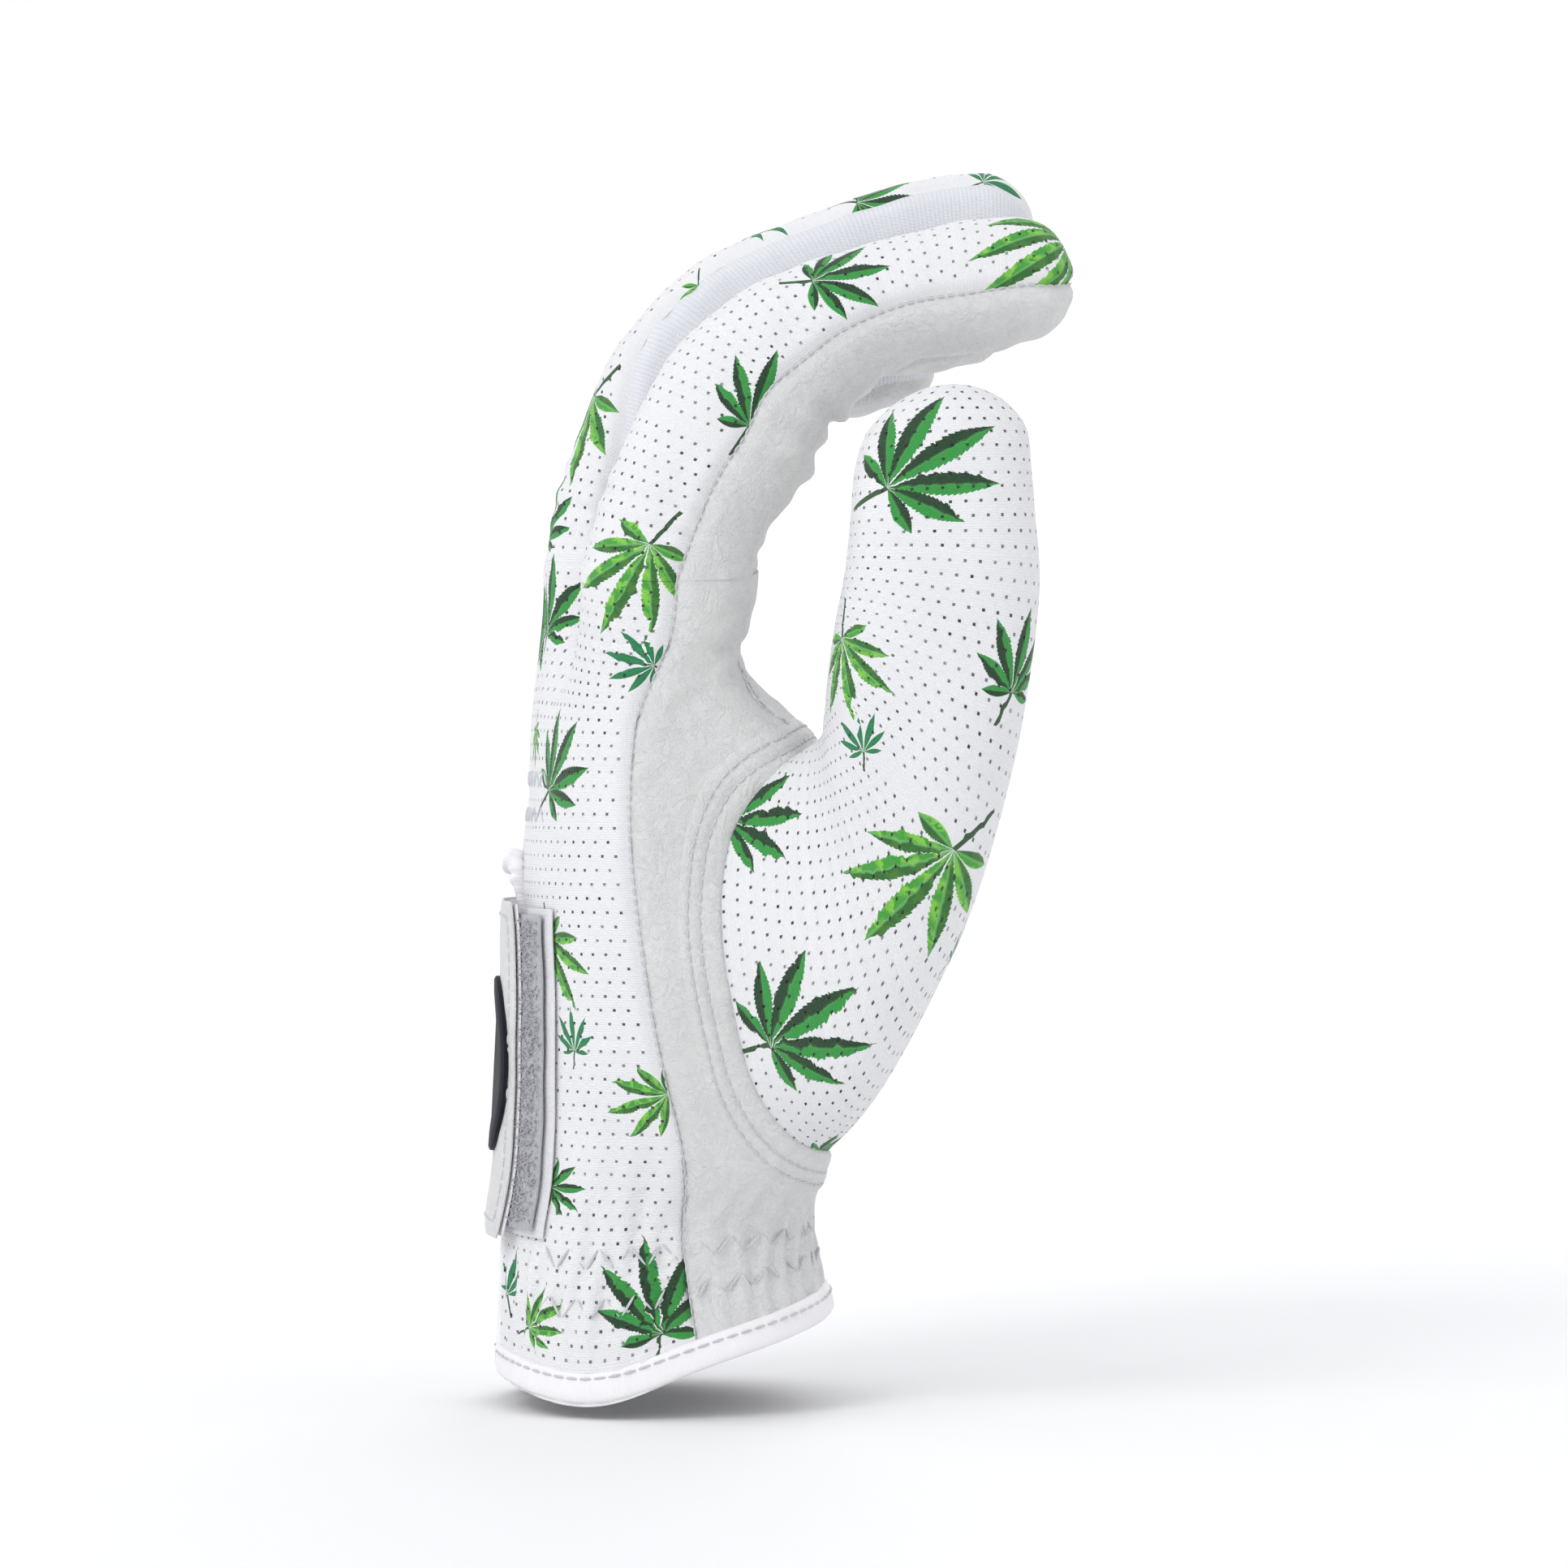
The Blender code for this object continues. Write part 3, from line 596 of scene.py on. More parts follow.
# %% From a place to the cloth
def centre_leaves(panels):
    """Finds the cloth nearest to each leaf's place: its panel, point, and three directions."""
    found = []
    for seed, size, turn, kind in LEAVES:
        best = None
        for job in panels:
            flat, facing = job["grid"].reshape(-1, 3), job["normal"].reshape(-1, 3)
            if seed[1] <= NEAR_SIDE:
                # Seen from the thumb side: the nearest cloth in that view that looks at us.
                away = np.hypot(flat[:, 0] - seed[0], flat[:, 2] - seed[2])
                score = away + 30.0 * (facing[:, 1] > -0.1) + 0.05 * (flat[:, 1] + 80)
            else:
                away = np.linalg.norm(flat - np.array(seed), axis=1)
                score = away + 30.0 * (facing[:, 0] > 0.4)
            k = int(np.argmin(score))
            if best is None or score[k] < best[0]:
                best = (score[k], job["family"], flat[k], facing[k])
        _, family, centre, normal = best
        up = np.array([0.0, 0.0, 1.0]) - normal * normal[2]
        if np.linalg.norm(up) < 0.5:
            up = np.array([1.0, 0.0, 0.0]) - normal * normal[0]
        up /= np.linalg.norm(up)
        right = np.cross(up, normal)
        angle = math.radians(turn)
        ahead = up * math.cos(angle) + right * math.sin(angle)
        beside = right * math.cos(angle) - up * math.sin(angle)
        found.append((family, centre, normal, beside, ahead, size, kind))
    return found


def blade_distance(local, size):
    """How far places on a leaf are from the nearest middle line of its leaflets, in mm."""
    nearest = np.full(len(local), 1e9)
    for degrees, length in LEAFLETS:
        turn = math.radians(degrees)
        out = local[:, 0] * math.sin(turn) + local[:, 1] * math.cos(turn)
        side = local[:, 0] * math.cos(turn) - local[:, 1] * math.sin(turn)
        beyond = out - np.clip(out, 0.0, length)
        nearest = np.minimum(nearest, np.hypot(beyond, side) * size)
    return nearest


def print_leaves(points, normals, family, leaves):
    """Leaf coordinates and kind for each point of the cloth, and how many leaves fell on it."""
    flat, facing = points.reshape(-1, 3), normals.reshape(-1, 3)
    place = np.full((len(flat), 2), FAR)
    kinds = np.zeros(len(flat))
    nearest = np.full(len(flat), 1e9)
    used = 0
    for owner, centre, normal, beside, ahead, size, kind in leaves:
        # A leaf may run from the hand on to a finger, but not from one finger to the next.
        pair = (owner, family)
        if owner != family and ("hand" not in pair or "thumb" in pair):
            continue
        offset = flat - centre
        distance = np.linalg.norm(offset, axis=1)
        local = np.stack([offset @ beside, offset @ ahead], axis=1)
        stretch = distance / np.maximum(np.linalg.norm(local, axis=1), 0.3 * distance + 1e-6)
        local = local * stretch[:, None] / size
        # Where two leaves meet, each keeps the cloth that is nearest to its own leaflets.
        away = blade_distance(local, size)
        inside = (away < nearest) & (distance < size * LEAF_REACH) & (facing @ normal > -0.2)
        place[inside] = local[inside]
        kinds[inside] = kind
        nearest[inside] = away[inside]
        used += bool(inside.any())
    return place.reshape(points.shape[:2] + (2,)), kinds.reshape(points.shape[:2]), used


print("leaflets of each leaf:", len(LEAFLETS))

# %% [markdown]
# ## A holder for Geometry Nodes
# Two patterns repeat on the glove: holes and stitches. Each gets a tree of Geometry Nodes. This
# holder makes the tree's named inputs, adds nodes with their inputs plugged, and ends the tree
# in Realize Instances and Set Material, so that real faces with a finish come out.

# %% The holder
class Group:
    """A tree of Geometry Nodes; `given` holds its inputs by name."""

    def __init__(self, name, **inputs):
        self.tree = bpy.data.node_groups.new(name, "GeometryNodeTree")
        face = self.tree.interface
        for label, kind in {"Geometry": "Geometry", **inputs}.items():
            face.new_socket(label, in_out="INPUT", socket_type="NodeSocket" + kind)
        face.new_socket("Geometry", in_out="OUTPUT", socket_type="NodeSocketGeometry")
        self.given = self.add("NodeGroupInput")

    def add(self, kind, settings=None, values=None):
        """Adds a node and returns its outputs."""
        made = self.tree.nodes.new(kind)
        for key, value in (settings or {}).items():
            setattr(made, key, value)
        for key, value in (values or {}).items():
            if isinstance(value, bpy.types.NodeSocket):
                self.tree.links.new(value, made.inputs[key])
            else:
                made.inputs[key].default_value = value
        return made.outputs

    def finish(self, geometry, material):
        real = self.add("GeometryNodeRealizeInstances", {}, {"Geometry": geometry})["Geometry"]
        values = {"Geometry": real, "Material": self.given[material]}
        dressed = self.add("GeometryNodeSetMaterial", {}, values)["Geometry"]
        self.add("NodeGroupOutput", {}, {"Geometry": dressed})
        return self.tree


def apply_tree(obj, tree, **inputs):
    """Runs a node tree on an object and keeps the result as its plain mesh."""
    modifier = obj.modifiers.new("nodes", "NODES")
    modifier.node_group = tree
    for item in tree.interface.items_tree:
        if item.in_out == "INPUT" and item.name in inputs:
            modifier[item.identifier] = inputs[item.name]
    graph = bpy.context.evaluated_depsgraph_get()
    made = bpy.data.meshes.new_from_object(
        obj.evaluated_get(graph), preserve_all_data_layers=True, depsgraph=graph
    )
    obj.modifiers.clear()
    obj.data = made
    return obj


print("holder ready")

# %% [markdown]
# ## Punching the mesh
# The real mesh is knitted with its holes; here they are pressed in. Python only marks the faces:
# it takes the face nearest to each place of a staggered lattice and moves its four corners into
# a neat square there. The tree then presses each marked face in and notes it as a pit, which
# the shader darkens with painted shade, as if one saw into the shaded inside of the glove.

# %% The punch for the mesh's holes
HOLE_PITCH_ACROSS = 2.45
HOLE_PITCH_ALONG = 2.3
HOLE_SIZE = 0.5
HOLE_MARGIN = 1.7
HOLE_DEPTH = 0.35
HOLE_TAPER = 0.8


def punch_tree():
    """Each face marked `hole` is pressed in by Depth and shrunk by Taper."""
    group = Group("punch_holes", Depth="Float", Taper="Float", Cloth="Material")
    given = group.given
    marked = group.add("GeometryNodeInputNamedAttribute", {"data_type": "BOOLEAN"}, {"Name": "hole"})
    inwards = group.add("ShaderNodeMath", {"operation": "MULTIPLY"}, {0: given["Depth"], 1: -1.0})
    values = {"Mesh": given["Geometry"], "Selection": marked["Attribute"]}
    values.update({"Offset Scale": inwards[0], "Individual": True})
    press = group.add("GeometryNodeExtrudeMesh", {"mode": "FACES"}, values)
    values = {"Geometry": press["Mesh"], "Selection": press["Top"], "Scale": given["Taper"]}
    shrink = group.add("GeometryNodeScaleElements", {}, values)
    either = group.add(
        "FunctionNodeBooleanMath", {"operation": "OR"}, {0: press["Top"], 1: press["Side"]}
    )
    # Each pit is noted so that the shader can paint shade into it.
    values = {"Geometry": shrink["Geometry"], "Selection": either[0], "Name": "pit", "Value": 1.0}
    kind = {"data_type": "FLOAT", "domain": "FACE"}
    pits = group.add("GeometryNodeStoreNamedAttribute", kind, values)
    return group.finish(pits["Geometry"], "Cloth")


PUNCH = punch_tree()


def read_grid(grid, rows, columns):
    """A grid's values at fractional rows and columns."""
    r = np.clip(rows, 0, grid.shape[0] - 1.001)
    c = np.clip(columns, 0, grid.shape[1] - 1.001)
    r0, c0 = r.astype(int), c.astype(int)
    tr, tc = (r - r0)[:, None], (c - c0)[:, None]
    near = grid[r0, c0] * (1 - tc) + grid[r0, c0 + 1] * tc
    far = grid[r0 + 1, c0] * (1 - tc) + grid[r0 + 1, c0 + 1] * tc
    return near * (1 - tr) + far * tr


def mark_holes(outer, cloth, allowed):
    """Squares up the faces that become holes, and returns which they are."""
    rows, columns = outer.shape[:2]
    holes = np.zeros((rows - 1, columns - 1), bool)
    source = outer.copy()
    along = cloth[:, columns // 2, 1]
    first, last = along[0] + HOLE_MARGIN, along[-1] - HOLE_MARGIN / 2
    steps = np.arange(math.ceil(first / HOLE_PITCH_ALONG), int(last / HOLE_PITCH_ALONG) + 1)
    for step in steps:
        height = step * HOLE_PITCH_ALONG
        row = float(np.interp(height, along, np.arange(rows)))
        near = int(min(round(row), rows - 1))
        across = cloth[near, :, 0]
        low, high = across.min() + HOLE_MARGIN, across.max() - HOLE_MARGIN
        if high <= low:
            continue
        shift = 0.5 * (step % 2)
        start, stop = low / HOLE_PITCH_ACROSS - shift, high / HOLE_PITCH_ACROSS - shift
        places = (np.arange(math.ceil(start), stop) + shift) * HOLE_PITCH_ACROSS
        places = places[(places >= low) & (places <= high)]
        order = np.argsort(across)
        column = np.interp(places, across[order], np.arange(columns)[order])
        cells = np.interp(column, np.arange(columns - 1) + 0.5, np.abs(np.diff(across)))
        tall = (along[-1] - along[0]) / (rows - 1)
        for c, cell in zip(column, cells):
            r0, c0 = int(round(row - 0.5)), int(round(c - 0.5))
            if not (2 <= r0 < rows - 3 and 2 <= c0 < columns - 3) or not allowed[r0, c0]:
                continue
            half_row, half_column = HOLE_SIZE / 2 / tall, HOLE_SIZE / 2 / cell
            corner_rows = np.array([row - half_row] * 2 + [row + half_row] * 2)
            corner_columns = np.array([c - half_column, c + half_column] * 2)
            corners = read_grid(source, corner_rows, corner_columns)
            outer[r0, c0], outer[r0, c0 + 1] = corners[0], corners[1]
            outer[r0 + 1, c0], outer[r0 + 1, c0 + 1] = corners[2], corners[3]
            holes[r0, c0] = True
    return holes


print("holes every", HOLE_PITCH_ACROSS, "by", HOLE_PITCH_ALONG, "mm")

# %% [markdown]
# ## From a grid of points to a closed piece
# Every panel is a grid: rows along the tube and columns round it. The outer face is the grid,
# the inner face is the same grid a fabric's thickness further in, and walls join them wherever
# the kept faces end, so that a panel is one closed piece even with a hole cut out of it.

# %% Closing a panel
FABRIC = 0.75


def cloth_coordinates(grid):
    """Distances across from the middle column and along the tube, in millimetres."""
    step = np.linalg.norm(np.diff(grid, axis=1), axis=2)
    across = np.concatenate([np.zeros((len(grid), 1)), np.cumsum(step, axis=1)], axis=1)
    across -= across[:, across.shape[1] // 2][:, None]
    step = np.linalg.norm(np.diff(grid, axis=0), axis=2).mean(axis=1)
    along = np.concatenate([[0], np.cumsum(step)])
    return np.stack([across, np.repeat(along[:, None], grid.shape[1], axis=1)], axis=2)


def panel_faces(points, rows, columns, keep):
    """Outer faces, inner faces and walls, as corners of the outer and then the inner grid."""
    layer = rows * columns
    index = np.arange(layer).reshape(rows, columns)
    corners = (index[:-1, :-1], index[:-1, 1:], index[1:, 1:], index[1:, :-1])
    top = np.stack(corners, axis=2).reshape(-1, 4)
    if keep is not None:
        top = top[keep.reshape(-1)]
    # The faces must look outwards, away from the inner grid.
    f = top[len(top) // 2]
    normal = np.cross(points[f[1]] - points[f[0]], points[f[3]] - points[f[0]])
    if np.dot(normal, points[f[0]] - points[f[0] + layer]) < 0:
        top = top[:, ::-1]
    # An edge that only one kept face uses is on the rim, and gets a wall.
    edges = np.concatenate([top[:, [k, (k + 1) % 4]] for k in range(4)])
    codes = edges[:, 0] * layer + edges[:, 1]
    alone = ~np.isin(edges[:, 1] * layer + edges[:, 0], codes)
    rim = edges[alone]
    walls = np.stack([rim[:, 1], rim[:, 0], rim[:, 0] + layer, rim[:, 1] + layer], axis=1)
    return np.concatenate([top, top[:, ::-1] + layer, walls])


def closed_panel(name, outer, inner, finish, cloth, leaf=None, kinds=None, holes=None, keep=None):
    """The object of one panel: outer and inner grids and the walls round what is kept."""
    rows, columns = outer.shape[:2]
    points = np.concatenate([outer.reshape(-1, 3), inner.reshape(-1, 3)]) * MM
    faces = panel_faces(points, rows, columns, keep)
    used, faces_used = np.unique(faces.reshape(-1), return_inverse=True)
    mesh = bpy.data.meshes.new(name)
    mesh.from_pydata(points[used].tolist(), [], faces_used.reshape(-1, 4).tolist())
    corner_points = faces.reshape(-1) % (rows * columns)
    add_map(mesh, "cloth", cloth.reshape(-1, 2)[corner_points])
    if leaf is not None:
        chosen = leaf.reshape(-1, 2)[corner_points].reshape(-1, 4, 2)
        first = kinds.reshape(-1)[corner_points].reshape(-1, 4)
        # A face whose corners belong to different leaves gets no print.
        mixed = (np.ptp(chosen, axis=1).max(axis=1) > 0.6) | (np.ptp(first, axis=1) > 0)
        chosen[mixed] = FAR
        add_map(mesh, "leaf", chosen.reshape(-1, 2))
        store(mesh, "leaf_kind", "FLOAT", "FACE", first[:, 0].astype(np.float32))
    if holes is not None:
        marks = holes.reshape(-1)
        if keep is not None:
            marks = marks[keep.reshape(-1)]
        others = np.zeros(len(faces) - len(marks), bool)
        store(mesh, "hole", "BOOLEAN", "FACE", np.concatenate([marks, others]))
    mesh.materials.append(FINISH[finish])
    mesh.shade_smooth()
    obj = bpy.data.objects.new(name, mesh)
    bpy.context.scene.collection.objects.link(obj)
    if holes is not None:
        apply_tree(obj, PUNCH, Depth=HOLE_DEPTH * MM, Taper=HOLE_TAPER, Cloth=FINISH[finish])
    obj.data.set_sharp_from_angle(angle=math.radians(65))
    return obj


def add_map(mesh, name, values):
    layer = mesh.uv_layers.new(name=name)
    layer.data.foreach_set("uv", np.ascontiguousarray(values, np.float32).reshape(-1))


def store(mesh, name, kind, domain, values):
    made = mesh.attributes.new(name, kind, domain)
    made.data.foreach_set("value", values)


print("fabric:", FABRIC, "mm thick")

# %% [markdown]
# ## Sewing
# Towards each seam the fabric dips, as the stitches pull it in, and just beside the dip it
# swells. A printed panel waits until every panel has its shape, because a leaf may cross a seam.

# %% Sewing a panel
SEAM_DIP = 0.62
SEAM_WIDTH = 1.1


def keep_margin(keep):
    """The kept cells that lie at least three cells from any that are cut away."""
    away = ~keep
    for _ in range(3):
        grown = away.copy()
        grown[1:] |= away[:-1]
        grown[:-1] |= away[1:]
        grown[:, 1:] |= away[:, :-1]
        grown[:, :-1] |= away[:, 1:]
        away = grown
    return ~away


PRINTED = []


def sew_later(name, grid, normal, family, after, keep=None):
    """Puts a printed panel aside until all are shaped."""
    job = {"name": name, "grid": grid, "normal": normal, "family": family}
    PRINTED.append({**job, "after": after, "keep": keep})


def sew_panel(name, grid, normal, finish, printed=None, swell=0.25, fabric=FABRIC, keep=None):
    """A panel from a grid and its normals, dipped at its seams and, if printed, punched."""
    cloth = cloth_coordinates(grid)
    across = cloth[:, :, 0]
    left = np.abs(across - across[:, :1])
    right = np.abs(across - across[:, -1:])
    edge = np.minimum(left, right)
    dip = -SEAM_DIP * bump(edge, 0.0, SEAM_WIDTH) + swell * bump(edge, 2.6, 1.6)
    outer = grid + normal * dip[:, :, None]
    inner = grid + normal * (dip - fabric)[:, :, None]
    if not printed:
        return closed_panel(name, outer, inner, finish, cloth, keep=keep)
    leaf, kinds, used = print_leaves(outer, normal, *printed)
    allowed = edge[:-1, :-1] > HOLE_MARGIN
    if keep is not None:
        allowed &= keep_margin(keep)
    holes = mark_holes(outer, cloth, allowed)
    obj = closed_panel(name, outer, inner, finish, cloth, leaf, kinds, holes, keep)
    print(name, "leaves:", used, "holes:", int(holes.sum()), "faces:", len(obj.data.polygons))
    return obj


def dress(obj, body, slot, *nodes):
    """Puts a piece on one body and hides the plain solids that it stands for; `slot` is not used."""
    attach(obj, body)
    if nodes:
        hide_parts(*nodes)


def bender(bend, nodes):
    """What is left to do with a panel once it is sewn: with one body it rides on it, and with two it
    keeps its place; the plain solids it stands for are hidden.
    """

    def after(obj):
        if len(bend) == 1:
            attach(obj, bend[0])
        else:
            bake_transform(obj)
        if nodes:
            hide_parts(*nodes)

    return after


def mm(point):
    """A point in millimetres as the metres that the frame uses."""
    return tuple(float(v) * MM for v in point)


print("a seam dips", SEAM_DIP, "mm")

# %% [markdown]
# ## The fingers
# Each finger is a tube that starts at the rim of the hand and curls towards the palm. The
# stations are pairs of points, palm side and back, measured from the knuckle's hinge. The
# longer fingers use larger copies. A front of leather, a back of mesh and strips of ribbed
# knit between them are ranges of angle on the same tube.
#
# The tube is cut half way along the first finger bone, into a lower and an upper part.

# %% The sizes of the fingers
# For each finger: how far across the hand, half widths at the rim and above, scale and lean.
GLOVE_LENGTH = 131.0
FINGERS = {
    "index": (-33.0, 11.0, 10.5, 1.0, 0.0),
    "middle": (-11.05, 10.95, 10.4, 1.075, -4.0),
    "ring": (10.5, 10.6, 10.0, 0.98, 3.0),
    "little": (30.85, 9.75, 9.0, 0.80, -2.0),
}
LOWER = (
    ((0.9, 2.6), (-25.6, 10.6)), ((3.6, 8.4), (-21.5, 20.6)), ((9.2, 15.6), (-17.8, 28.5)),
    ((11.9, 22.4), (-13.2, 35.8)),
)
UPPER = (
    ((14.8, 24.8), (-3.4, 44.6)), ((19.8, 30.2), (5.6, 49.2)), ((26.4, 34.2), (20.0, 53.7)),
    ((35.0, 35.2), (34.0, 57.0)), ((43.0, 37.0), (43.5, 57.6)),
)
TIP_REACH = 9.2
TIP_DEGREES = (28, 50, 68, 80, 88)
CROTCH_DEPTH = -2.5
RIM_PALM = {"index": 14.0, "middle": 11.5, "ring": 11.0, "little": 11.5}
SPLIT_ROW = 2.6  # where a finger is cut into its two parts, in stations from the rim
SEAMS = {
    "index": (("front", -58, 84), ("back", 84, 232), ("side", 232, 302)),
    "middle": (
        ("front", -50, 50), ("thumb_side", 50, (112, 140)),
        ("back", (112, 140), 238), ("outer_side", 238, 310),
    ),
    "ring": (("front", -50, 50), ("thumb_side", 50, 122), ("back", 122, 238), ("outer_side", 238, 310)),
    "little": (("front", -118, 58), ("side", 58, 126), ("back", 126, 242)),
}
print("strips:", {finger: len(seams) for finger, seams in SEAMS.items()})

# %% [markdown]
# ## From sizes to a tube
# A finger's first ring is its rim on the hand. After it come the ovals of the stations, and then
# smaller and smaller ovals that round the tip.

# %% Rims and stations
UPPER_WIDTHS = (1.0, 1.0, 0.98, 0.97, 0.96, 0.95, 0.93)


def knuckle_height(y):
    """The top of the hand arches a little, highest at the middle."""
    return GLOVE_LENGTH + 5.0 * (1 - (np.asarray(y) / 44.0) ** 2)


def rim_ring(finger, degrees):
    """Where a finger leaves the hand: ovals side by side, all with the same crotch depth."""
    side, half, _, _, _ = FINGERS[finger]
    angle = np.radians(np.asarray(degrees, float))
    forward, across = squarish(angle)
    back = -20.6 * (1 - abs(side / 44.0) ** SQUARENESS) ** (1 / SQUARENESS)
    reach = np.where(np.cos(angle) > 0, RIM_PALM[finger] - CROTCH_DEPTH, back - CROTCH_DEPTH)
    y = side - across * half
    return np.stack([CROTCH_DEPTH + np.abs(forward) * reach, y, knuckle_height(y) - 0.5], axis=1)


def seam_at(angle, row):
    """A seam given as a pair moves from the first angle at the knuckle to the second."""
    low, high = angle if isinstance(angle, tuple) else (angle, angle)
    return low + (high - low) * smooth_step(row, 1.0, 4.5)


def finger_rows(finger, start, stop, count):
    """Points of the finger's stations between two angles, from the rim to the tip."""
    side, base_half, half, scale, lean = FINGERS[finger]
    hinge = hinge_of(f"{finger}_knuckle")
    cos, sin = math.cos(math.radians(lean)), math.sin(math.radians(lean))

    def place(pair):
        x, z = pair[0] * scale, pair[1] * scale
        return np.array([hinge[0] + x * cos + z * sin, hinge[1], hinge[2] + z * cos - x * sin])

    def angles():
        return np.linspace(seam_at(start, len(rows)), seam_at(stop, len(rows)), count)

    rows = []
    rows.append(rim_ring(finger, angles()))
    pairs = LOWER + UPPER
    widths = [base_half, base_half * 0.99] + [half * share for share in UPPER_WIDTHS]
    for (palm, back), wide in zip(pairs, widths):
        rows.append(oval(place(palm), place(back), wide, (0, 1, 0), angles()))
    palm, back = place(pairs[-1][0]), place(pairs[-1][1])
    middle, reach = (palm + back) / 2, (palm - back) / 2
    ahead = np.array([-reach[2], 0.0, reach[0]])
    ahead *= TIP_REACH * scale / np.linalg.norm(ahead)
    for degrees in TIP_DEGREES:
        turn = math.radians(degrees)
        centre = middle + ahead * math.sin(turn)
        shrink = math.cos(turn)
        wide = half * 0.93 * shrink
        rows.append(oval(centre + reach * shrink, centre - reach * shrink, wide, (0, 1, 0), angles()))
    return np.array(rows)


print("rings of a finger:", len(finger_rows("index", 0, 90, 5)))

# %% [markdown]
# ## Cloth that isn't perfect
# Perfectly smooth cloth looks like plastic. A ripple of a few long waves makes it uneven, and
# on the leather soft rolls gather at the inside of each joint. The waves come from a seeded
# generator, so that the glove is the same every time.

# %% Even columns and soft unevenness
def even_columns(rows, count):
    """Each row read again at equal steps along its own length."""
    out = np.empty((len(rows), count, 3))
    for k, row in enumerate(rows):
        length = walked(row)
        share = np.linspace(0, length[-1], count)
        for axis in range(3):
            out[k, :, axis] = np.interp(share, length, row[:, axis])
    return out


def ripple(points, size, seed):
    """A gentle fixed unevenness: a few long waves in different directions."""
    waves = np.random.default_rng(seed).normal(size=(7, 3))
    phases = np.random.default_rng(seed + 1).uniform(0, 6.28, 7)
    total = np.zeros(points.shape[:-1])
    for wave, phase in zip(waves, phases):
        total += np.sin(points @ wave * (6.28 / size) / 1.7 + phase)
    return total / 4.0


def finger_axis(finger, row):
    """The middle of the finger's tube at a station."""
    ring = finger_rows(finger, 0, 360, 41)[:, :-1]
    return smooth_rows(ring.mean(axis=1), [row])[0]


def leather_folds(grid, along, places):
    """The leather bunches in soft rolls on the inside of each bend."""
    share = np.linspace(-1, 1, grid.shape[1])[None, :]
    inner = 1 - 0.75 * share**2
    place = places[:, None]
    rolls = 0.75 * np.sin(along * 0.98 + 0.5 * np.sin(grid[:, :, 1] * 0.5)) * bump(place, 4.1, 1.5)
    rolls += 0.25 * np.sin(along * 1.2 + grid[:, :, 1] * 0.2) * bump(place, 1.2, 1.0)
    return rolls * inner + 0.3 * ripple(grid, 7.0, 8) * inner


print("tip of the index at", [round(float(v), 1) for v in finger_axis("index", 13)])

# %% [markdown]
# ## Sewing the fingers
# Each strip is read at even steps, lifted by its ripples and folds, cut in two and sewn.

# %% Make the fingers
SEAM_ROWS = []  # lines of thread to sew later, with the two bodies and two points given for their part


def make_finger(finger):
    """Makes every strip of one finger."""
    cell = {"front": 0.9, "back": 0.62}
    slots = {"front": "leather", "back": "mesh_knit"}
    hinge = hinge_of(f"{finger}_knuckle")
    middle = hinge_of(f"{finger}_middle_joint")
    scale = FINGERS[finger][3]
    knuckle_from = (hinge[0], hinge[1], knuckle_height(hinge[1]) + 0.1)
    knuckle_to = (hinge[0], hinge[1], hinge[2] + 13.5 * scale)
    bend_from = finger_axis(finger, 3.25)
    bend_to = finger_axis(finger, 6.0)
    for panel, start, stop in SEAMS[finger]:
        size = cell.get(panel, 0.8)
        slot = slots.get(panel, "fine_knit")
        rows = finger_rows(finger, start, stop, 61)
        places = even_places(rows, size)
        wide = np.linalg.norm(np.diff(rows[4], axis=0), axis=1).sum()
        grid = even_columns(smooth_rows(rows, places), max(8, round(wide / size) + 1))
        heart = smooth_rows(finger_rows(finger, 0, 360, 41)[:, :-1].mean(axis=1), places)
        normal = normals_of(grid, heart[:, None, :])
        along = cloth_coordinates(grid)[:, :, 1]
        lift = 0.22 * ripple(grid, 15.0, 3)
        if panel == "front":
            lift += leather_folds(grid, along, places)
        elif slot == "fine_knit":
            rolls = np.sin(along * 1.1 + grid[:, :, 0] * 0.3)
            lift += 0.35 * rolls * bump(places[:, None], 4.6, 0.9)
            lift -= 0.5 * np.sin(np.pi * np.linspace(0, 1, grid.shape[1]))[None, :]
        else:
            lift += 0.25 * np.sin(along * 1.3) * bump(places[:, None], 1.2, 0.7)
        grid = grid + normal * lift[:, :, None]
        cut = int(np.searchsorted(places, SPLIT_ROW))
        for part, first, last in (("lower", 0, cut + 1), ("upper", cut, len(grid))):
            node = f"{finger}_{panel}_{part}"
            piece = slice(first, last)
            if part == "lower":
                bend = ("root", f"{finger}_lower", mm(knuckle_from), mm(knuckle_to))
                gusset = f"{finger}_knuckle_gusset"
            else:
                bend = (f"{finger}_lower", f"{finger}_upper", mm(bend_from), mm(bend_to))
                gusset = f"{finger}_middle_gusset"
            nodes = [node, gusset] if panel == "back" else [node]
            after = bender(bend, nodes)
            if slot == "mesh_knit":
                sew_later(node + "_cloth", grid[piece], normal[piece], finger, after)
            else:
                after(sew_panel(node + "_cloth", grid[piece], normal[piece], slot))
            if (finger, panel) == ("index", "front"):
                edge = grid[piece][:, -1] - normal[piece][:, -1] * 0.3
                SEAM_ROWS.append((f"index_seam_{part}", edge, bend))


for finger_name in FINGERS:
    make_finger(finger_name)
print("fingers:", len(FINGERS))

# %% [markdown]
# ## The hand
# The hand is a flat tube from the hem to the knuckles. Lower down it is one oval. Near the top
# it turns into the four ovals that the fingers grow from, so that the fabric runs over the
# knuckles and dips between the fingers.
#
# The palm swells at the ball of the thumb and towards the web, as a hand does.

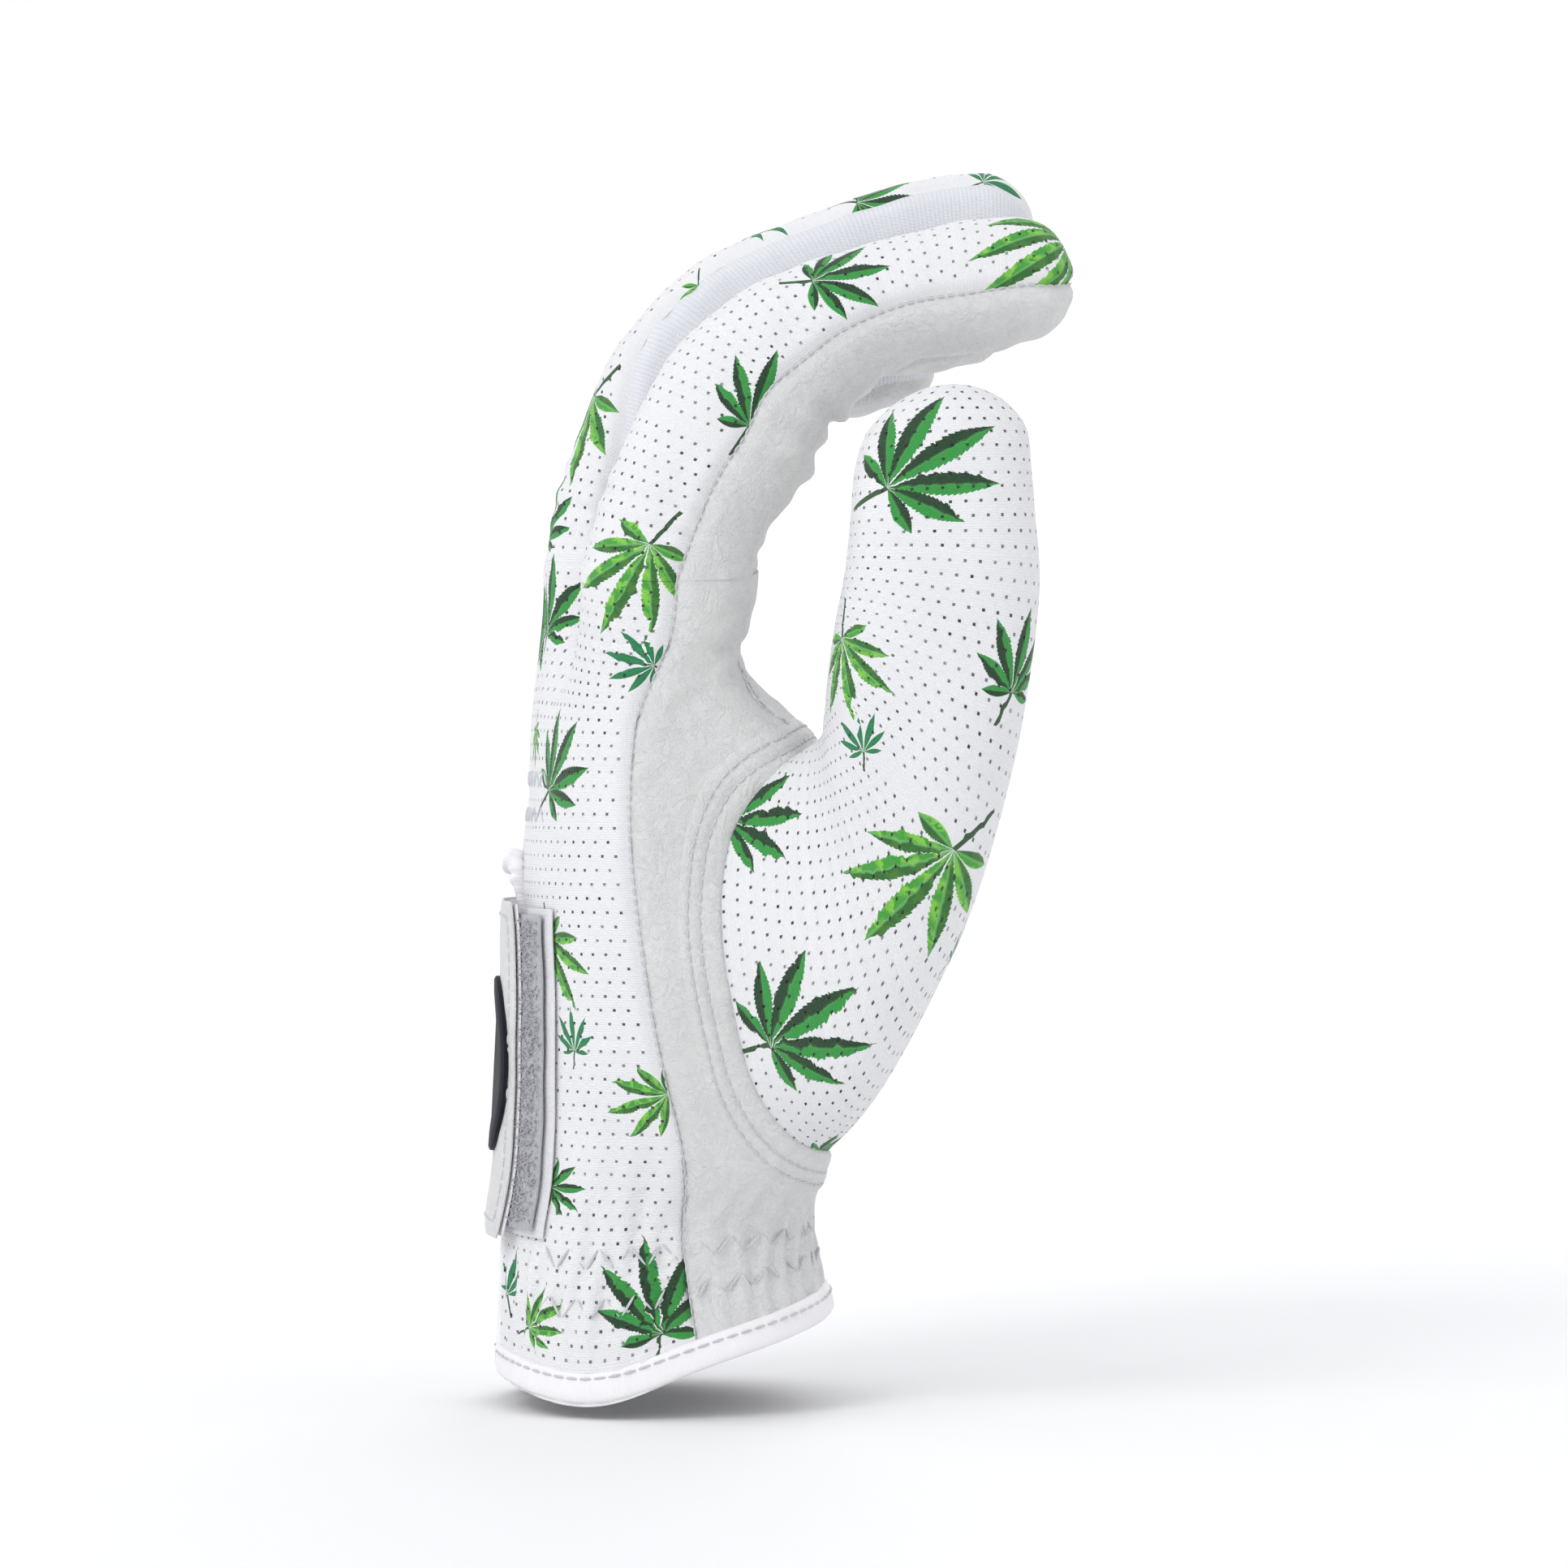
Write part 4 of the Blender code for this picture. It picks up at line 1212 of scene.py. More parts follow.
# %% The shape of the hand
# Shares of the glove's length, with the hand's reach to the back, to the palm and sideways.
HAND_HEIGHTS = np.array((0.0, 0.16, 0.27, 0.46, 0.65, 0.80, 0.95, 1.05))
HAND_BACKS = np.array((28.0, 27.0, 25.0, 24.0, 24.0, 22.8, 21.0, 20.0))
HAND_FRONTS = np.array((28.0, 25.0, 26.0, 20.0, 15.0, 13.7, 13.5, 13.5))
HAND_HALVES = np.array((31.0, 29.0, 32.5, 38.0, 41.0, 43.0, 44.0, 44.0))
SIDE_SEAM, LITTLE_SEAM = 85.0, 262.0
CROTCHES = (-44.0, -22.0, -0.1, 21.1, 40.6)
VENT_TOP, VENT_HALF = 86.0, 3.0


def hem_rise(x):
    """The hem isn't level: it is cut lower at the back and rises towards the palm."""
    share = (x + 28.0) / 56.0
    return 9.0 * np.maximum(share, 0) ** 2.4 - 5.5 * np.exp(-(((share - 0.25) / 0.28) ** 2))


def hand_oval(heights, degrees):
    """The plain hand tube at heights (rows) and angles (columns)."""
    heights = np.asarray(heights, float)
    share = heights / GLOVE_LENGTH
    table = np.stack([HAND_BACKS, HAND_FRONTS, HAND_HALVES], axis=1)
    fine = np.linspace(0, 7, 141)
    smooth = smooth_rows(table, fine)
    levels = smooth_rows(HAND_HEIGHTS[:, None], fine)[:, 0]
    back, front, half = (np.interp(share, levels, smooth[:, k])[:, None] for k in range(3))
    angle = np.radians(np.broadcast_to(degrees, (len(heights), np.shape(degrees)[-1])).astype(float))
    forward, across = squarish(angle)
    x = (front - back) / 2 + forward * (front + back) / 2
    y = -across * half
    z = np.repeat(heights[:, None], angle.shape[1], axis=1)
    # The ball of the thumb and the web swell towards the palm, on the thumb side only.
    thumbwards = smooth_step(-y, 6.0, 27.0) * smooth_step(np.cos(angle), 0.0, 0.45)
    swell = 11.5 * bump(z, 102.0, 11.0) + 7.0 * bump(z, 74.0, 26.0) + 5.0 * bump(z, 42.0, 16.0)
    x = x + swell * thumbwards
    z = z + hem_rise(x) * np.maximum(0, 1 - z / 30.0)
    z = z + (knuckle_height(y) - GLOVE_LENGTH) * np.maximum(0, (z - 100.0) / 31.0)
    return np.stack([x, y, z], axis=2)


wrist = hand_oval([GLOVE_LENGTH * 0.2], np.arange(0, 361, 3))[0]
print("the wrist is", round(walked(wrist)[-1]), "mm round")

# %% [markdown]
# ## The palm and the back as sheets
# Each sheet has straight columns from the hem to the fingers. At the top every column must end
# on the rim of a finger, so the sheet's columns are shared out between the four rims.

# %% The two sheets
# Heights, and how many degrees the side seam lies behind its place at the hem and the top.
SEAM_SHIFT = (
    (0, -2.0), (20, 0.5), (33, 3.0), (49, 6.0), (62, 8.5),
    (93, 11.5), (104, 11.0), (114, 8.0), (123, 3.0), (131, 0.0),
)


def shifted(angles, heights):
    """The angles of the columns at each height: the side seam sways towards the back."""
    sway = np.interp(heights, *zip(*SEAM_SHIFT))
    sway = np.convolve(np.pad(sway, 6, mode="edge"), np.full(13, 1 / 13), mode="valid")
    return angles[None, :] + sway[:, None] * bump(angles[None, :], SIDE_SEAM, 34.0)


def across_angle(y, palm):
    """The angle on the hand's top oval that lies y millimetres across."""
    turn = math.degrees(math.asin(min(1.0, (abs(y) / 44.0) ** (SQUARENESS / 2))))
    if palm:
        return -math.copysign(turn, y)
    return 180.0 + math.copysign(turn, y)


def hand_panel(palm, cell):
    """Grid, angles and heights of the palm or of the back, from the hem to the fingers."""
    if palm:
        arcs = [("little", -118, 90), ("ring", -90, 90), ("middle", -90, 90), ("index", -90, 84)]
        ends = [LITTLE_SEAM - 360] + [across_angle(y, True) for y in CROTCHES[3:0:-1]] + [SIDE_SEAM]
    else:
        arcs = [("index", 84, 270), ("middle", 90, 270), ("ring", 90, 270), ("little", 90, 242)]
        ends = [SIDE_SEAM] + [across_angle(y, False) for y in CROTCHES[1:4]] + [LITTLE_SEAM]
    rims, angles = [], []
    for k, (finger, start, stop) in enumerate(arcs):
        arc = rim_ring(finger, np.linspace(start, stop, 181))[None]
        count = round(np.linalg.norm(np.diff(arc[0], axis=0), axis=1).sum() / cell / 1.25)
        first = 0 if k == 0 else 1
        rims.append(even_columns(arc, count + 1)[0, first:])
        fine = np.linspace(ends[k], ends[k + 1], 101)
        length = walked(hand_oval([120.0], fine)[0])
        turn = np.interp(np.linspace(0, length[-1], count + 1), length, fine)
        angles.append(turn[first:])
    rim, angles = np.concatenate(rims), np.concatenate(angles)
    heights = np.linspace(0.0, GLOVE_LENGTH, round(GLOVE_LENGTH / cell) + 1)
    grid = hand_oval(heights, shifted(angles, heights))
    share = smooth_step(heights, 106.0, GLOVE_LENGTH)[:, None, None]
    drop = np.zeros((len(heights), 1, 3))
    drop[:, 0, 2] = heights - GLOVE_LENGTH
    return grid * (1 - share) + (rim[None] + drop) * share, angles, heights


print("columns of the palm:", len(hand_panel(True, 1.0)[1]))

# %% [markdown]
# ## Wrinkles of the hand
# Small folds gather at the wrist, where the elastic pulls the leather together. A deeper crease
# crosses the web, between the thumb and the index finger. The back stays flat under the tab.

# %% Wrinkle the two sheets
def hand_wrinkles(grid, angles, heights, palm):
    """How far each point of the hand's cloth lifts off its smooth shape."""
    z = heights[:, None]
    place = cloth_coordinates(grid)[:, :, 0]
    gather = bump(z, 17.0, 13.0)
    lift = 0.5 * gather * np.sin(place * 1.35 + 1.2 * np.sin(z * 0.21 + place * 0.13))
    lift += 0.3 * gather * np.sin(place * 0.7 - z * 0.25)
    lift += 0.28 * ripple(grid, 22.0, 11)
    fade = 1 - smooth_step(z, 124.0, GLOVE_LENGTH)
    if palm:
        web = smooth_step(-grid[:, :, 1], 8.0, 22.0)
        lift -= 1.1 * bump(z, 116.0 + 0.06 * place, 1.3) * web
        lift += 0.5 * bump(z, 119.5, 2.2) * web
        lift += 0.22 * ripple(grid, 6.5, 21) * (0.4 + bump(z, 112.0, 18.0))
    else:
        lift += 0.5 * np.sin(place * 0.9 + z * 0.3) * bump(z, 26.0, 12.0) * 0.6
        lift -= 0.5 * bump(z, 95.0, 5.0) * bump(angles[None, :], 180.0, 26.0)
        # The back lies flat under the closing tab.
        under = smooth_step(z, 17.0, 23.0) * (1 - smooth_step(z, 78.0, 84.0))
        lift *= 1 - under * (1 - smooth_step(np.abs(grid[:, :, 1]), 24.0, 28.0)) * (grid[:, :, 0] < 0)
    return lift * fade


def make_hand_panel(palm):
    """Grid, normals, angles and heights of a sheet with its wrinkles."""
    cell = 1.0 if palm else 0.64
    grid, angles, heights = hand_panel(palm, cell)
    heart = np.zeros((len(heights), 1, 3))
    heart[:, 0, 0] = -5.0
    heart[:, 0, 2] = heights
    normal = normals_of(grid, heart)
    grid = grid + normal * hand_wrinkles(grid, angles, heights, palm)[:, :, None]
    return grid, normal, angles, heights


palm_grid, palm_normal, palm_angles, palm_heights = make_hand_panel(True)
back_grid, back_normal, back_angles, back_heights = make_hand_panel(False)
print("palm grid:", palm_grid.shape[:2], "back grid:", back_grid.shape[:2])

# %% [markdown]
# ## Points on the sheets
# Later pieces lie on the palm or on the back. They ask where a point is by its angle round the
# hand and its height above the hem, and how far it should float off the cloth.

# %% Read the sheets anywhere
def on_sheet(sheet, angles, heights, degrees, height):
    """Values of a hand panel's grid at any angles and heights."""
    rows = np.interp(height, heights, np.arange(len(heights)))
    columns = np.interp(degrees, angles, np.arange(len(angles)))
    return read_grid(sheet, rows, columns)


def sheet_reader(sheet, normals, angles, heights):
    """A function that gives points over a sheet at any angles, heights and lifts off it."""

    def read(degrees, height, lift=0.0):
        degrees, height = np.atleast_1d(degrees).astype(float), np.atleast_1d(height).astype(float)
        point = on_sheet(sheet, angles, heights, degrees, height)
        normal = on_sheet(normals, angles, heights, degrees, height)
        return point + normal * np.asarray(lift, float).reshape(-1, 1)

    return read


on_palm = sheet_reader(palm_grid, palm_normal, palm_angles, palm_heights)
on_back = sheet_reader(back_grid, back_normal, back_angles, back_heights)
print("middle of the palm at", [round(float(v), 1) for v in on_palm(0, 60)[0]])

# %% [markdown]
# ## The thumb's hole
# The thumb is sewn into a hole in the palm leather. We draw the hole's edge as a closed loop
# on the leather: the near side follows a long curve, and the far side crosses the palm.

# %% The edge of the thumb's hole
HOLE_EDGE = (
    (24.0, 103.0), (19.3, 101.4), (14.6, 98.8), (10.6, 95.2), (8.0, 90.4), (6.4, 84.0), (5.7, 77.0),
    (6.0, 71.0), (7.0, 64.6), (9.0, 56.0), (11.2, 48.0), (14.8, 42.0), (18.5, 38.2), (23.3, 35.4),
    (27.3, 34.6),
)


def near_places(points):
    """Angles and heights of points given as seen from the thumb side."""
    fine = np.linspace(SIDE_SEAM - 1, 8, 400)
    found = []
    for x, height in points:
        level = height
        row = on_palm(fine, np.full(400, level))
        if row[0, 0] < x:
            level -= float(np.interp(x, row[::-1, 0], row[::-1, 2])) - height
        row = on_palm(fine, np.full(400, level))
        beyond = np.nonzero(row[:, 0] >= x)[0]
        place = beyond[0] if len(beyond) else int(np.argmax(row[:, 0]))
        found.append((fine[place], level))
    return np.array(found)


def hole_loop():
    """Angles and heights of the hole's edge, and how many of its points are on the near side."""
    near = near_places(HOLE_EDGE)
    top, bottom = near[0], near[-1]
    turn = np.linspace(0, math.pi, 14)[1:-1]
    middle, reach = (top + bottom) / 2, (bottom - top) / 2
    far = [middle + reach * math.cos(a) - np.array([16.0, 0.0]) * math.sin(a) for a in turn]
    loop = np.concatenate([near, far, near[:1]])
    fine = smooth_closed(loop[:-1], 260)
    for _ in range(24):
        fine = fine * 0.5 + (np.roll(fine, 1, axis=0) + np.roll(fine, -1, axis=0)) * 0.25
    return fine, len(near)


def smooth_closed(points, count):
    """A closed smooth curve through points."""
    wrapped = np.concatenate([points[-2:], points, points[:3]])
    places = np.linspace(2, 2 + len(points), count, endpoint=False)
    return smooth_rows(wrapped, places)


loop, near_count = hole_loop()
share_near = (near_count - 1) / (near_count + 12)
print("thumb hole:", [round(float(v), 1) for v in np.ptp(loop, axis=0)], "degrees by mm")

# %% [markdown]
# ## Inside, outside and beside the edge
# A point is inside a closed curve when a line from it crosses the curve an odd number of times.
# To move the curve outwards by a distance in millimetres we work in space, since a degree is a
# different length at every place, and then turn the step into degrees and height again.

# %% Measures of the loop
def inside_loop(degrees, height, curve):
    """Which grid points lie inside a closed curve."""
    x, y = degrees[..., None], height[..., None]
    ax, ay = curve[:, 0], curve[:, 1]
    bx, by = np.roll(ax, -1), np.roll(ay, -1)
    rise = np.where(by == ay, 1e-9, by - ay)
    crosses = ((ay > y) != (by > y)) & (x < (bx - ax) * (y - ay) / rise + ax)
    return np.sum(crosses, axis=-1) % 2 == 1


def loop_offsets(distance):
    """The loop moved outwards over the leather by a distance in millimetres."""
    angles, heights = loop[:, 0], loop[:, 1]
    here = on_palm(angles, heights)
    around = (on_palm(angles + 1.0, heights) - on_palm(angles - 1.0, heights)) / 2.0
    upward = (on_palm(angles, heights + 1.0) - on_palm(angles, heights - 1.0)) / 2.0
    normal = on_palm(angles, heights, 1.0) - here
    tangent = np.roll(here, -3, axis=0) - np.roll(here, 3, axis=0)
    out = np.cross(tangent, normal)
    out /= np.linalg.norm(out, axis=1, keepdims=True)
    if np.sum(out * (here - here.mean(axis=0))) < 0:
        out = -out
    for _ in range(30):
        out = out * 0.5 + (np.roll(out, 1, axis=0) + np.roll(out, -1, axis=0)) * 0.25
    out *= distance / np.linalg.norm(out, axis=1, keepdims=True)
    # The step in angle and height that moves each point by `out` along the surface.
    aa, uu = np.sum(around * around, axis=1), np.sum(upward * upward, axis=1)
    au = np.sum(around * upward, axis=1)
    ao, uo = np.sum(around * out, axis=1), np.sum(upward * out, axis=1)
    whole = aa * uu - au**2
    step = np.stack([(ao * uu - uo * au) / whole, (uo * aa - ao * au) / whole], axis=1)
    return loop + step


edge_length = walked(on_palm(loop[:, 0], loop[:, 1]))[-1]
print("the edge of the hole is", round(edge_length), "mm long")

# %% [markdown]
# ## Cutting the palm and the back
# The faces inside the thumb's hole are left out of the palm, and those inside the vent out of
# the back. The palm is leather and can be sewn at once; the printed back waits.

# %% Cut and sew the palm
cell_angles = (palm_angles[:-1] + palm_angles[1:]) / 2
cell_heights = (palm_heights[:-1] + palm_heights[1:]) / 2
mesh_angles, mesh_heights = np.meshgrid(cell_angles, cell_heights)
palm_keep = ~inside_loop(mesh_angles, mesh_heights, loop_offsets(1.5))
palm = sew_panel("palm_leather_cloth", palm_grid, palm_normal, "leather", fabric=0.9, keep=palm_keep)
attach(palm, "root")
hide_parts("palm_leather")

vent_y = (back_grid[:-1, :-1, 1] + back_grid[1:, 1:, 1]) / 2
vent_z = (back_grid[:-1, :-1, 2] + back_grid[1:, 1:, 2]) / 2
back_x = (back_grid[:-1, :-1, 0] + back_grid[1:, 1:, 0]) / 2
in_vent = (back_x < 0) & (np.abs(vent_y) < VENT_HALF) & (vent_z < VENT_TOP - 3)
in_vent |= (back_x < 0) & (np.hypot(vent_y, vent_z - VENT_TOP + 3) < VENT_HALF)
back_done = bender(("root",), ["back_mesh"])
sew_later("back_mesh_cloth", back_grid, back_normal, "hand", back_done, ~in_vent)
print("faces cut out of the palm:", int((~palm_keep).sum()), "and of the back:", int(in_vent.sum()))

# %% [markdown]
# ## The thumb
# The thumb's mesh starts under the folded edge of the leather and swells out to the thumb. Its
# front, which faces the palm, is leather. The joint lies about where the thumb leaves the hand.

# %% The shape of the thumb
# For each ring: its web side and outer side as (x, z), then y, half depth and turn in degrees.
THUMB_RINGS = (
    ((24.4, 105.4), (32.0, 46.0), -38.0, 14.0, 24), ((24.0, 108.6), (42.2, 64.5), -44.5, 13.4, 12),
    ((23.9, 112.5), (49.0, 82.0), -49.5, 12.6, 6), ((25.0, 121.5), (55.0, 107.0), -54.0, 11.8, 2),
    ((26.4, 131.0), (57.2, 127.5), -56.8, 11.2, 0), ((27.2, 140.0), (56.9, 141.5), -58.0, 10.8, 0),
    ((28.2, 148.0), (56.2, 148.6), -58.2, 10.2, 0),
)
THUMB_TIP = (27, 48, 66, 79, 88)
THUMB_TIP_REACH = 13.0
THUMB_SPLIT = 3.0
THUMB_BEND = ((38.3, -48.0, 97.2), (49.5, -48.0, 106.4))
THUMB_SEAM = 72  # the front spans this many degrees to each side, and the back the rest
BACK_SPAN, FRONT_SPAN = 216.0, 144.0


def thumb_rows(start, stop, count):
    """Stations of the thumb between two angles, from the hole's edge to the tip."""
    fine = np.linspace(start, stop, count)
    rows = []
    # The near side of the loop belongs to the back, and the rest to the front.
    loop_points = on_palm(loop[:, 0], loop[:, 1], -1.0)
    if stop > 100:
        share = share_near * (fine - THUMB_SEAM) / BACK_SPAN
    else:
        share = share_near + (1.0 - share_near) * (fine + THUMB_SEAM) / FRONT_SPAN
    wrapped = np.concatenate([loop_points, loop_points[:1]])
    rows.append(smooth_rows(wrapped, share * len(loop_points)))
    for web, outer, y, depth, turn in THUMB_RINGS:
        rows.append(thumb_ring(web, outer, y, depth, turn, fine))
    web, outer, y, depth, turn = THUMB_RINGS[-1]
    for degrees in THUMB_TIP:
        angle = math.radians(degrees)
        centre = (np.array(web) + np.array(outer)) / 2
        reach = (np.array(outer) - np.array(web)) / 2 * math.cos(angle)
        centre = centre + np.array([0.1, 1.0]) * THUMB_TIP_REACH * math.sin(angle)
        ring = thumb_ring(centre - reach, centre + reach, y, depth * math.cos(angle), turn, fine)
        rows.append(ring)
    return np.array(rows)


def thumb_ring(web, outer, y, depth, turn, degrees):
    """One oval of the thumb, tilted by `turn` towards the thumb side."""
    web = np.array([web[0], y, web[1]])
    outer = np.array([outer[0], y, outer[1]])
    middle = (web + outer) / 2
    angle = math.radians(turn)
    palmwards = np.array([math.sin(angle), math.cos(angle), 0.0]) * depth
    side = outer - web
    half = np.linalg.norm(side) / 2
    return oval(middle + palmwards, middle - palmwards, half, side / (2 * half), degrees)


print("rings of the thumb:", len(THUMB_RINGS) + len(THUMB_TIP) + 1)

# %% [markdown]
# ## Sewing the thumb
# The thumb is sewn in a lower and an upper part, and the lower part stays with the hand.

# %% Make the thumb
BACK_ANGLES, FRONT_ANGLES = (THUMB_SEAM, 360 - THUMB_SEAM), (-THUMB_SEAM, THUMB_SEAM)


def make_thumb():
    """Makes the mesh back and the leather front, each in a lower and an upper part."""
    for panel, (first, last), slot, size in (
        ("back", BACK_ANGLES, "mesh_knit", 0.64),
        ("front", FRONT_ANGLES, "leather", 0.9),
    ):
        rows = thumb_rows(first, last, 81)
        places = even_places(rows[:, 20:61], size)
        wide = np.linalg.norm(np.diff(rows[4], axis=0), axis=1).sum()
        grid = even_columns(smooth_rows(rows, places), round(wide / size) + 1)
        ring = smooth_rows(thumb_rows(*BACK_ANGLES, 81), places).mean(axis=1)
        ring = (ring + smooth_rows(thumb_rows(*FRONT_ANGLES, 81), places).mean(axis=1)) / 2
        normal = normals_of(grid, ring[:, None, :])
        lift = 0.3 * ripple(grid, 18.0, 31)
        if panel == "front":
            lift += 0.3 * ripple(grid, 7.0, 33)
        lift *= smooth_step(places, 0.2, 1.0)[:, None]
        grid = grid + normal * lift[:, :, None]
        cut = int(np.searchsorted(places, THUMB_SPLIT))
        for part, low, high in (("lower", 0, cut + 1), ("upper", cut, len(grid))):
            node = f"thumb_{panel}_{part}"
            piece = slice(low, high)
            bend = ("root",)
            if part == "upper":
                bend = ("root", "thumb", mm(THUMB_BEND[0]), mm(THUMB_BEND[1]))
            nodes = [node, "thumb_knuckle_gusset"] if node == "thumb_back_upper" else [node]
            after = bender(bend, nodes)
            if slot == "mesh_knit":
                sew_later(node + "_cloth", grid[piece], normal[piece], "thumb", after)
            else:
                after(sew_panel(node + "_cloth", grid[piece], normal[piece], slot))


make_thumb()
print("panels waiting for their print:", len(PRINTED))

# %% [markdown]
# ## Printing and punching
# All the mesh panels are shaped now. We find where each leaf falls, and then sew the panels.

# %% Print and sew the mesh
leaves = centre_leaves(PRINTED)
for job in PRINTED:
    printed = (job["family"], leaves)
    sewn = sew_panel(
        job["name"], job["grid"], job["normal"], "mesh_knit", printed=printed, keep=job["keep"]
    )
    job["after"](sewn)

# %% [markdown]
# ## Bands
# A binding is an outline that runs along a path. At each point of the path the outline stands
# across it, turned so that its first axis points away from the hand.

# %% Bands along a path
def band(name, centre, out, profile, finish, closed=False):
    """A solid with one outline all along a path; `out` points away from the hand."""
    if closed:
        along = np.roll(centre, -1, axis=0) - np.roll(centre, 1, axis=0)
    else:
        along = np.gradient(centre, axis=0)
    along /= np.linalg.norm(along, axis=1, keepdims=True)
    side = np.cross(along, out)
    side /= np.linalg.norm(side, axis=1, keepdims=True)
    profile = np.asarray(profile, float)
    if profile.ndim == 2:
        profile = np.repeat(profile[None], len(centre), axis=0)
    grid = centre[:, None] + out[:, None] * profile[..., :1] + side[:, None] * profile[..., 1:]
    rows, count = grid.shape[:2]
    index = np.arange(rows * count).reshape(rows, count)
    ahead = np.roll(index, -1, axis=0) if closed else index[1:]
    start = index if closed else index[:-1]
    corners = [start, np.roll(start, -1, 1), np.roll(ahead, -1, 1), ahead]
    faces = [tuple(face) for face in np.stack(corners, axis=2).reshape(-1, 4).tolist()]
    if not closed:
        faces += [tuple(index[0, ::-1].tolist()), tuple(index[-1].tolist())]
    mesh = bpy.data.meshes.new(name)
    mesh.from_pydata((grid.reshape(-1, 3) * MM).tolist(), [], faces)
    length = walked(centre)
    corner = np.array([v for face in faces for v in face])
    values = np.stack([length[corner // count], (corner % count) * 0.7], axis=1)
    add_map(mesh, "cloth", values)
    return finished(name, mesh, finish)


def finished(name, mesh, finish, angle=65):
    """Turns the faces outwards, dresses the mesh and puts it in the scene."""
    work = bmesh.new()
    work.from_mesh(mesh)
    bmesh.ops.recalc_face_normals(work, faces=work.faces)
    work.to_mesh(mesh)
    work.free()
    mesh.materials.append(FINISH[finish])
    mesh.shade_smooth()
    mesh.set_sharp_from_angle(angle=math.radians(angle))
    obj = bpy.data.objects.new(name, mesh)
    bpy.context.scene.collection.objects.link(obj)
    return obj


def rounded(high, wide, power=3.0, count=20):
    """A rounded oblong outline, `high` away from the hand by `wide` across."""
    forward, across = squarish(np.linspace(0, 2 * math.pi, count, endpoint=False), power)
    return np.stack([forward * high / 2, across * wide / 2], axis=1)


print("points of a tape's outline:", len(rounded(2.3, 5.0, 3.2, 24)))

# %% [markdown]
# ## Sheets
# The tab and the tapes are sheets that lie on the back, one over the other, each at its own
# height above the cloth. They follow the plain tube of the hand, not the wrinkled cloth.

# %% Sheets on the back
TAB_MIDDLE = 50.0  # how high the middle of the tab lies above the hem


def hand_point(degrees, height, lift=0.0):
    """A point over the plain hand tube and the direction away from it."""
    degrees, height = np.broadcast_arrays(np.atleast_1d(degrees), np.atleast_1d(height))
    shape = degrees.shape
    flat, level = degrees.reshape(-1).astype(float), height.reshape(-1).astype(float)
    out = np.empty((len(flat), 3))
    around, above = np.empty_like(out), np.empty_like(out)
    for value in np.unique(level):
        here = level == value
        out[here] = hand_oval([value], flat[here])[0]
        around[here] = hand_oval([value], flat[here] + 0.5)[0]
        above[here] = hand_oval([value + 0.5], flat[here])[0]
    normal = np.cross(above - out, around - out)
    normal /= np.maximum(np.linalg.norm(normal, axis=1, keepdims=True), 1e-9)
    outward = out - np.array([-5.0, 0.0, 0.0])
    outward[:, 2] = 0
    normal[np.sum(normal * outward, axis=1) < 0] *= -1
    out = out + normal * np.asarray(lift, float).reshape(-1, 1)
    return out.reshape(shape + (3,)), normal.reshape(shape + (3,))


def back_angle(y, height):
    """The angle on the back at which the hand is y millimetres across."""
    fine = np.linspace(100.0, 260.0, 321)
    row = hand_oval([height], fine)[0]
    return np.interp(y, row[:, 1], fine)


def sheet_on_back(name, ys, heights, lift, thick, finish, cell=0.8, shape=None, swell=0.0):
    """A sheet over a patch of the back; `shape` moves its points within the patch."""
    across = np.linspace(ys[0], ys[1], max(3, round((ys[1] - ys[0]) / cell)))
    levels = np.linspace(heights[0], heights[1], max(3, round((heights[1] - heights[0]) / cell)))
    y, z = np.meshgrid(across, levels)
    if shape:
        y, z = shape(y, z)
    degrees = np.stack([back_angle(y[k], TAB_MIDDLE) for k in range(len(levels))])
    top, normal = hand_point(degrees, z)
    u, v = np.linspace(-1, 1, len(across))[None, :], np.linspace(-1, 1, len(levels))[:, None]
    soft = 1 - 0.35 * np.maximum(np.abs(u) ** 24, np.abs(v) ** 40)
    wave = 0.1 * ripple(top, 9.0, 41) + swell * (1 - u**2) * (1 - v**2)
    outer = top + normal * (lift + wave - thick * (1 - soft))[..., None]
    inner = top + normal * (lift + wave - thick * soft)[..., None]
    return closed_panel(name, outer, inner, finish, cloth_coordinates(top)), outer, normal


print("the back under the tab is at", round(float(back_angle(0.0, TAB_MIDDLE))), "degrees")

# %% [markdown]
# ## Hem, vent and elastics
# A satin tape is folded over the lower edge, and another round the vent, the slit that lets
# the hand in. Two elastics inside draw in the wrist and the back.

# %% Bindings and elastics
VENT_EDGE = VENT_HALF + 0.6
hem_from, hem_to = back_angle(VENT_EDGE + 0.8, 3.0), back_angle(-VENT_EDGE - 0.8, 3.0) + 360
hem_angles = np.linspace(hem_from, hem_to, 420)
hem_path, hem_out = hand_point(hem_angles, np.full(420, 2.6))
hem_path = hem_path + hem_out * (0.12 * ripple(hem_path, 6.0, 51) - 0.25)[:, None]
hem = band("hem_binding_tape", hem_path, hem_out, rounded(2.3, 5.0, 3.2, 24), "binding")
dress(hem, "root", "binding", "hem_binding")


def vent_line(count):
    """Points up one side of the vent, over its top and down the other: y and height."""
    straight = np.linspace(1.5, VENT_TOP - VENT_HALF, count)
    turn = np.linspace(math.pi, 0, 24)[1:-1]
    sides = np.full(count, VENT_HALF)
    y = np.concatenate([-sides, VENT_HALF * np.cos(turn), sides])
    z = np.concatenate([straight, VENT_TOP - VENT_HALF + 1.6 * np.sin(turn), straight[::-1]])
    return y, z


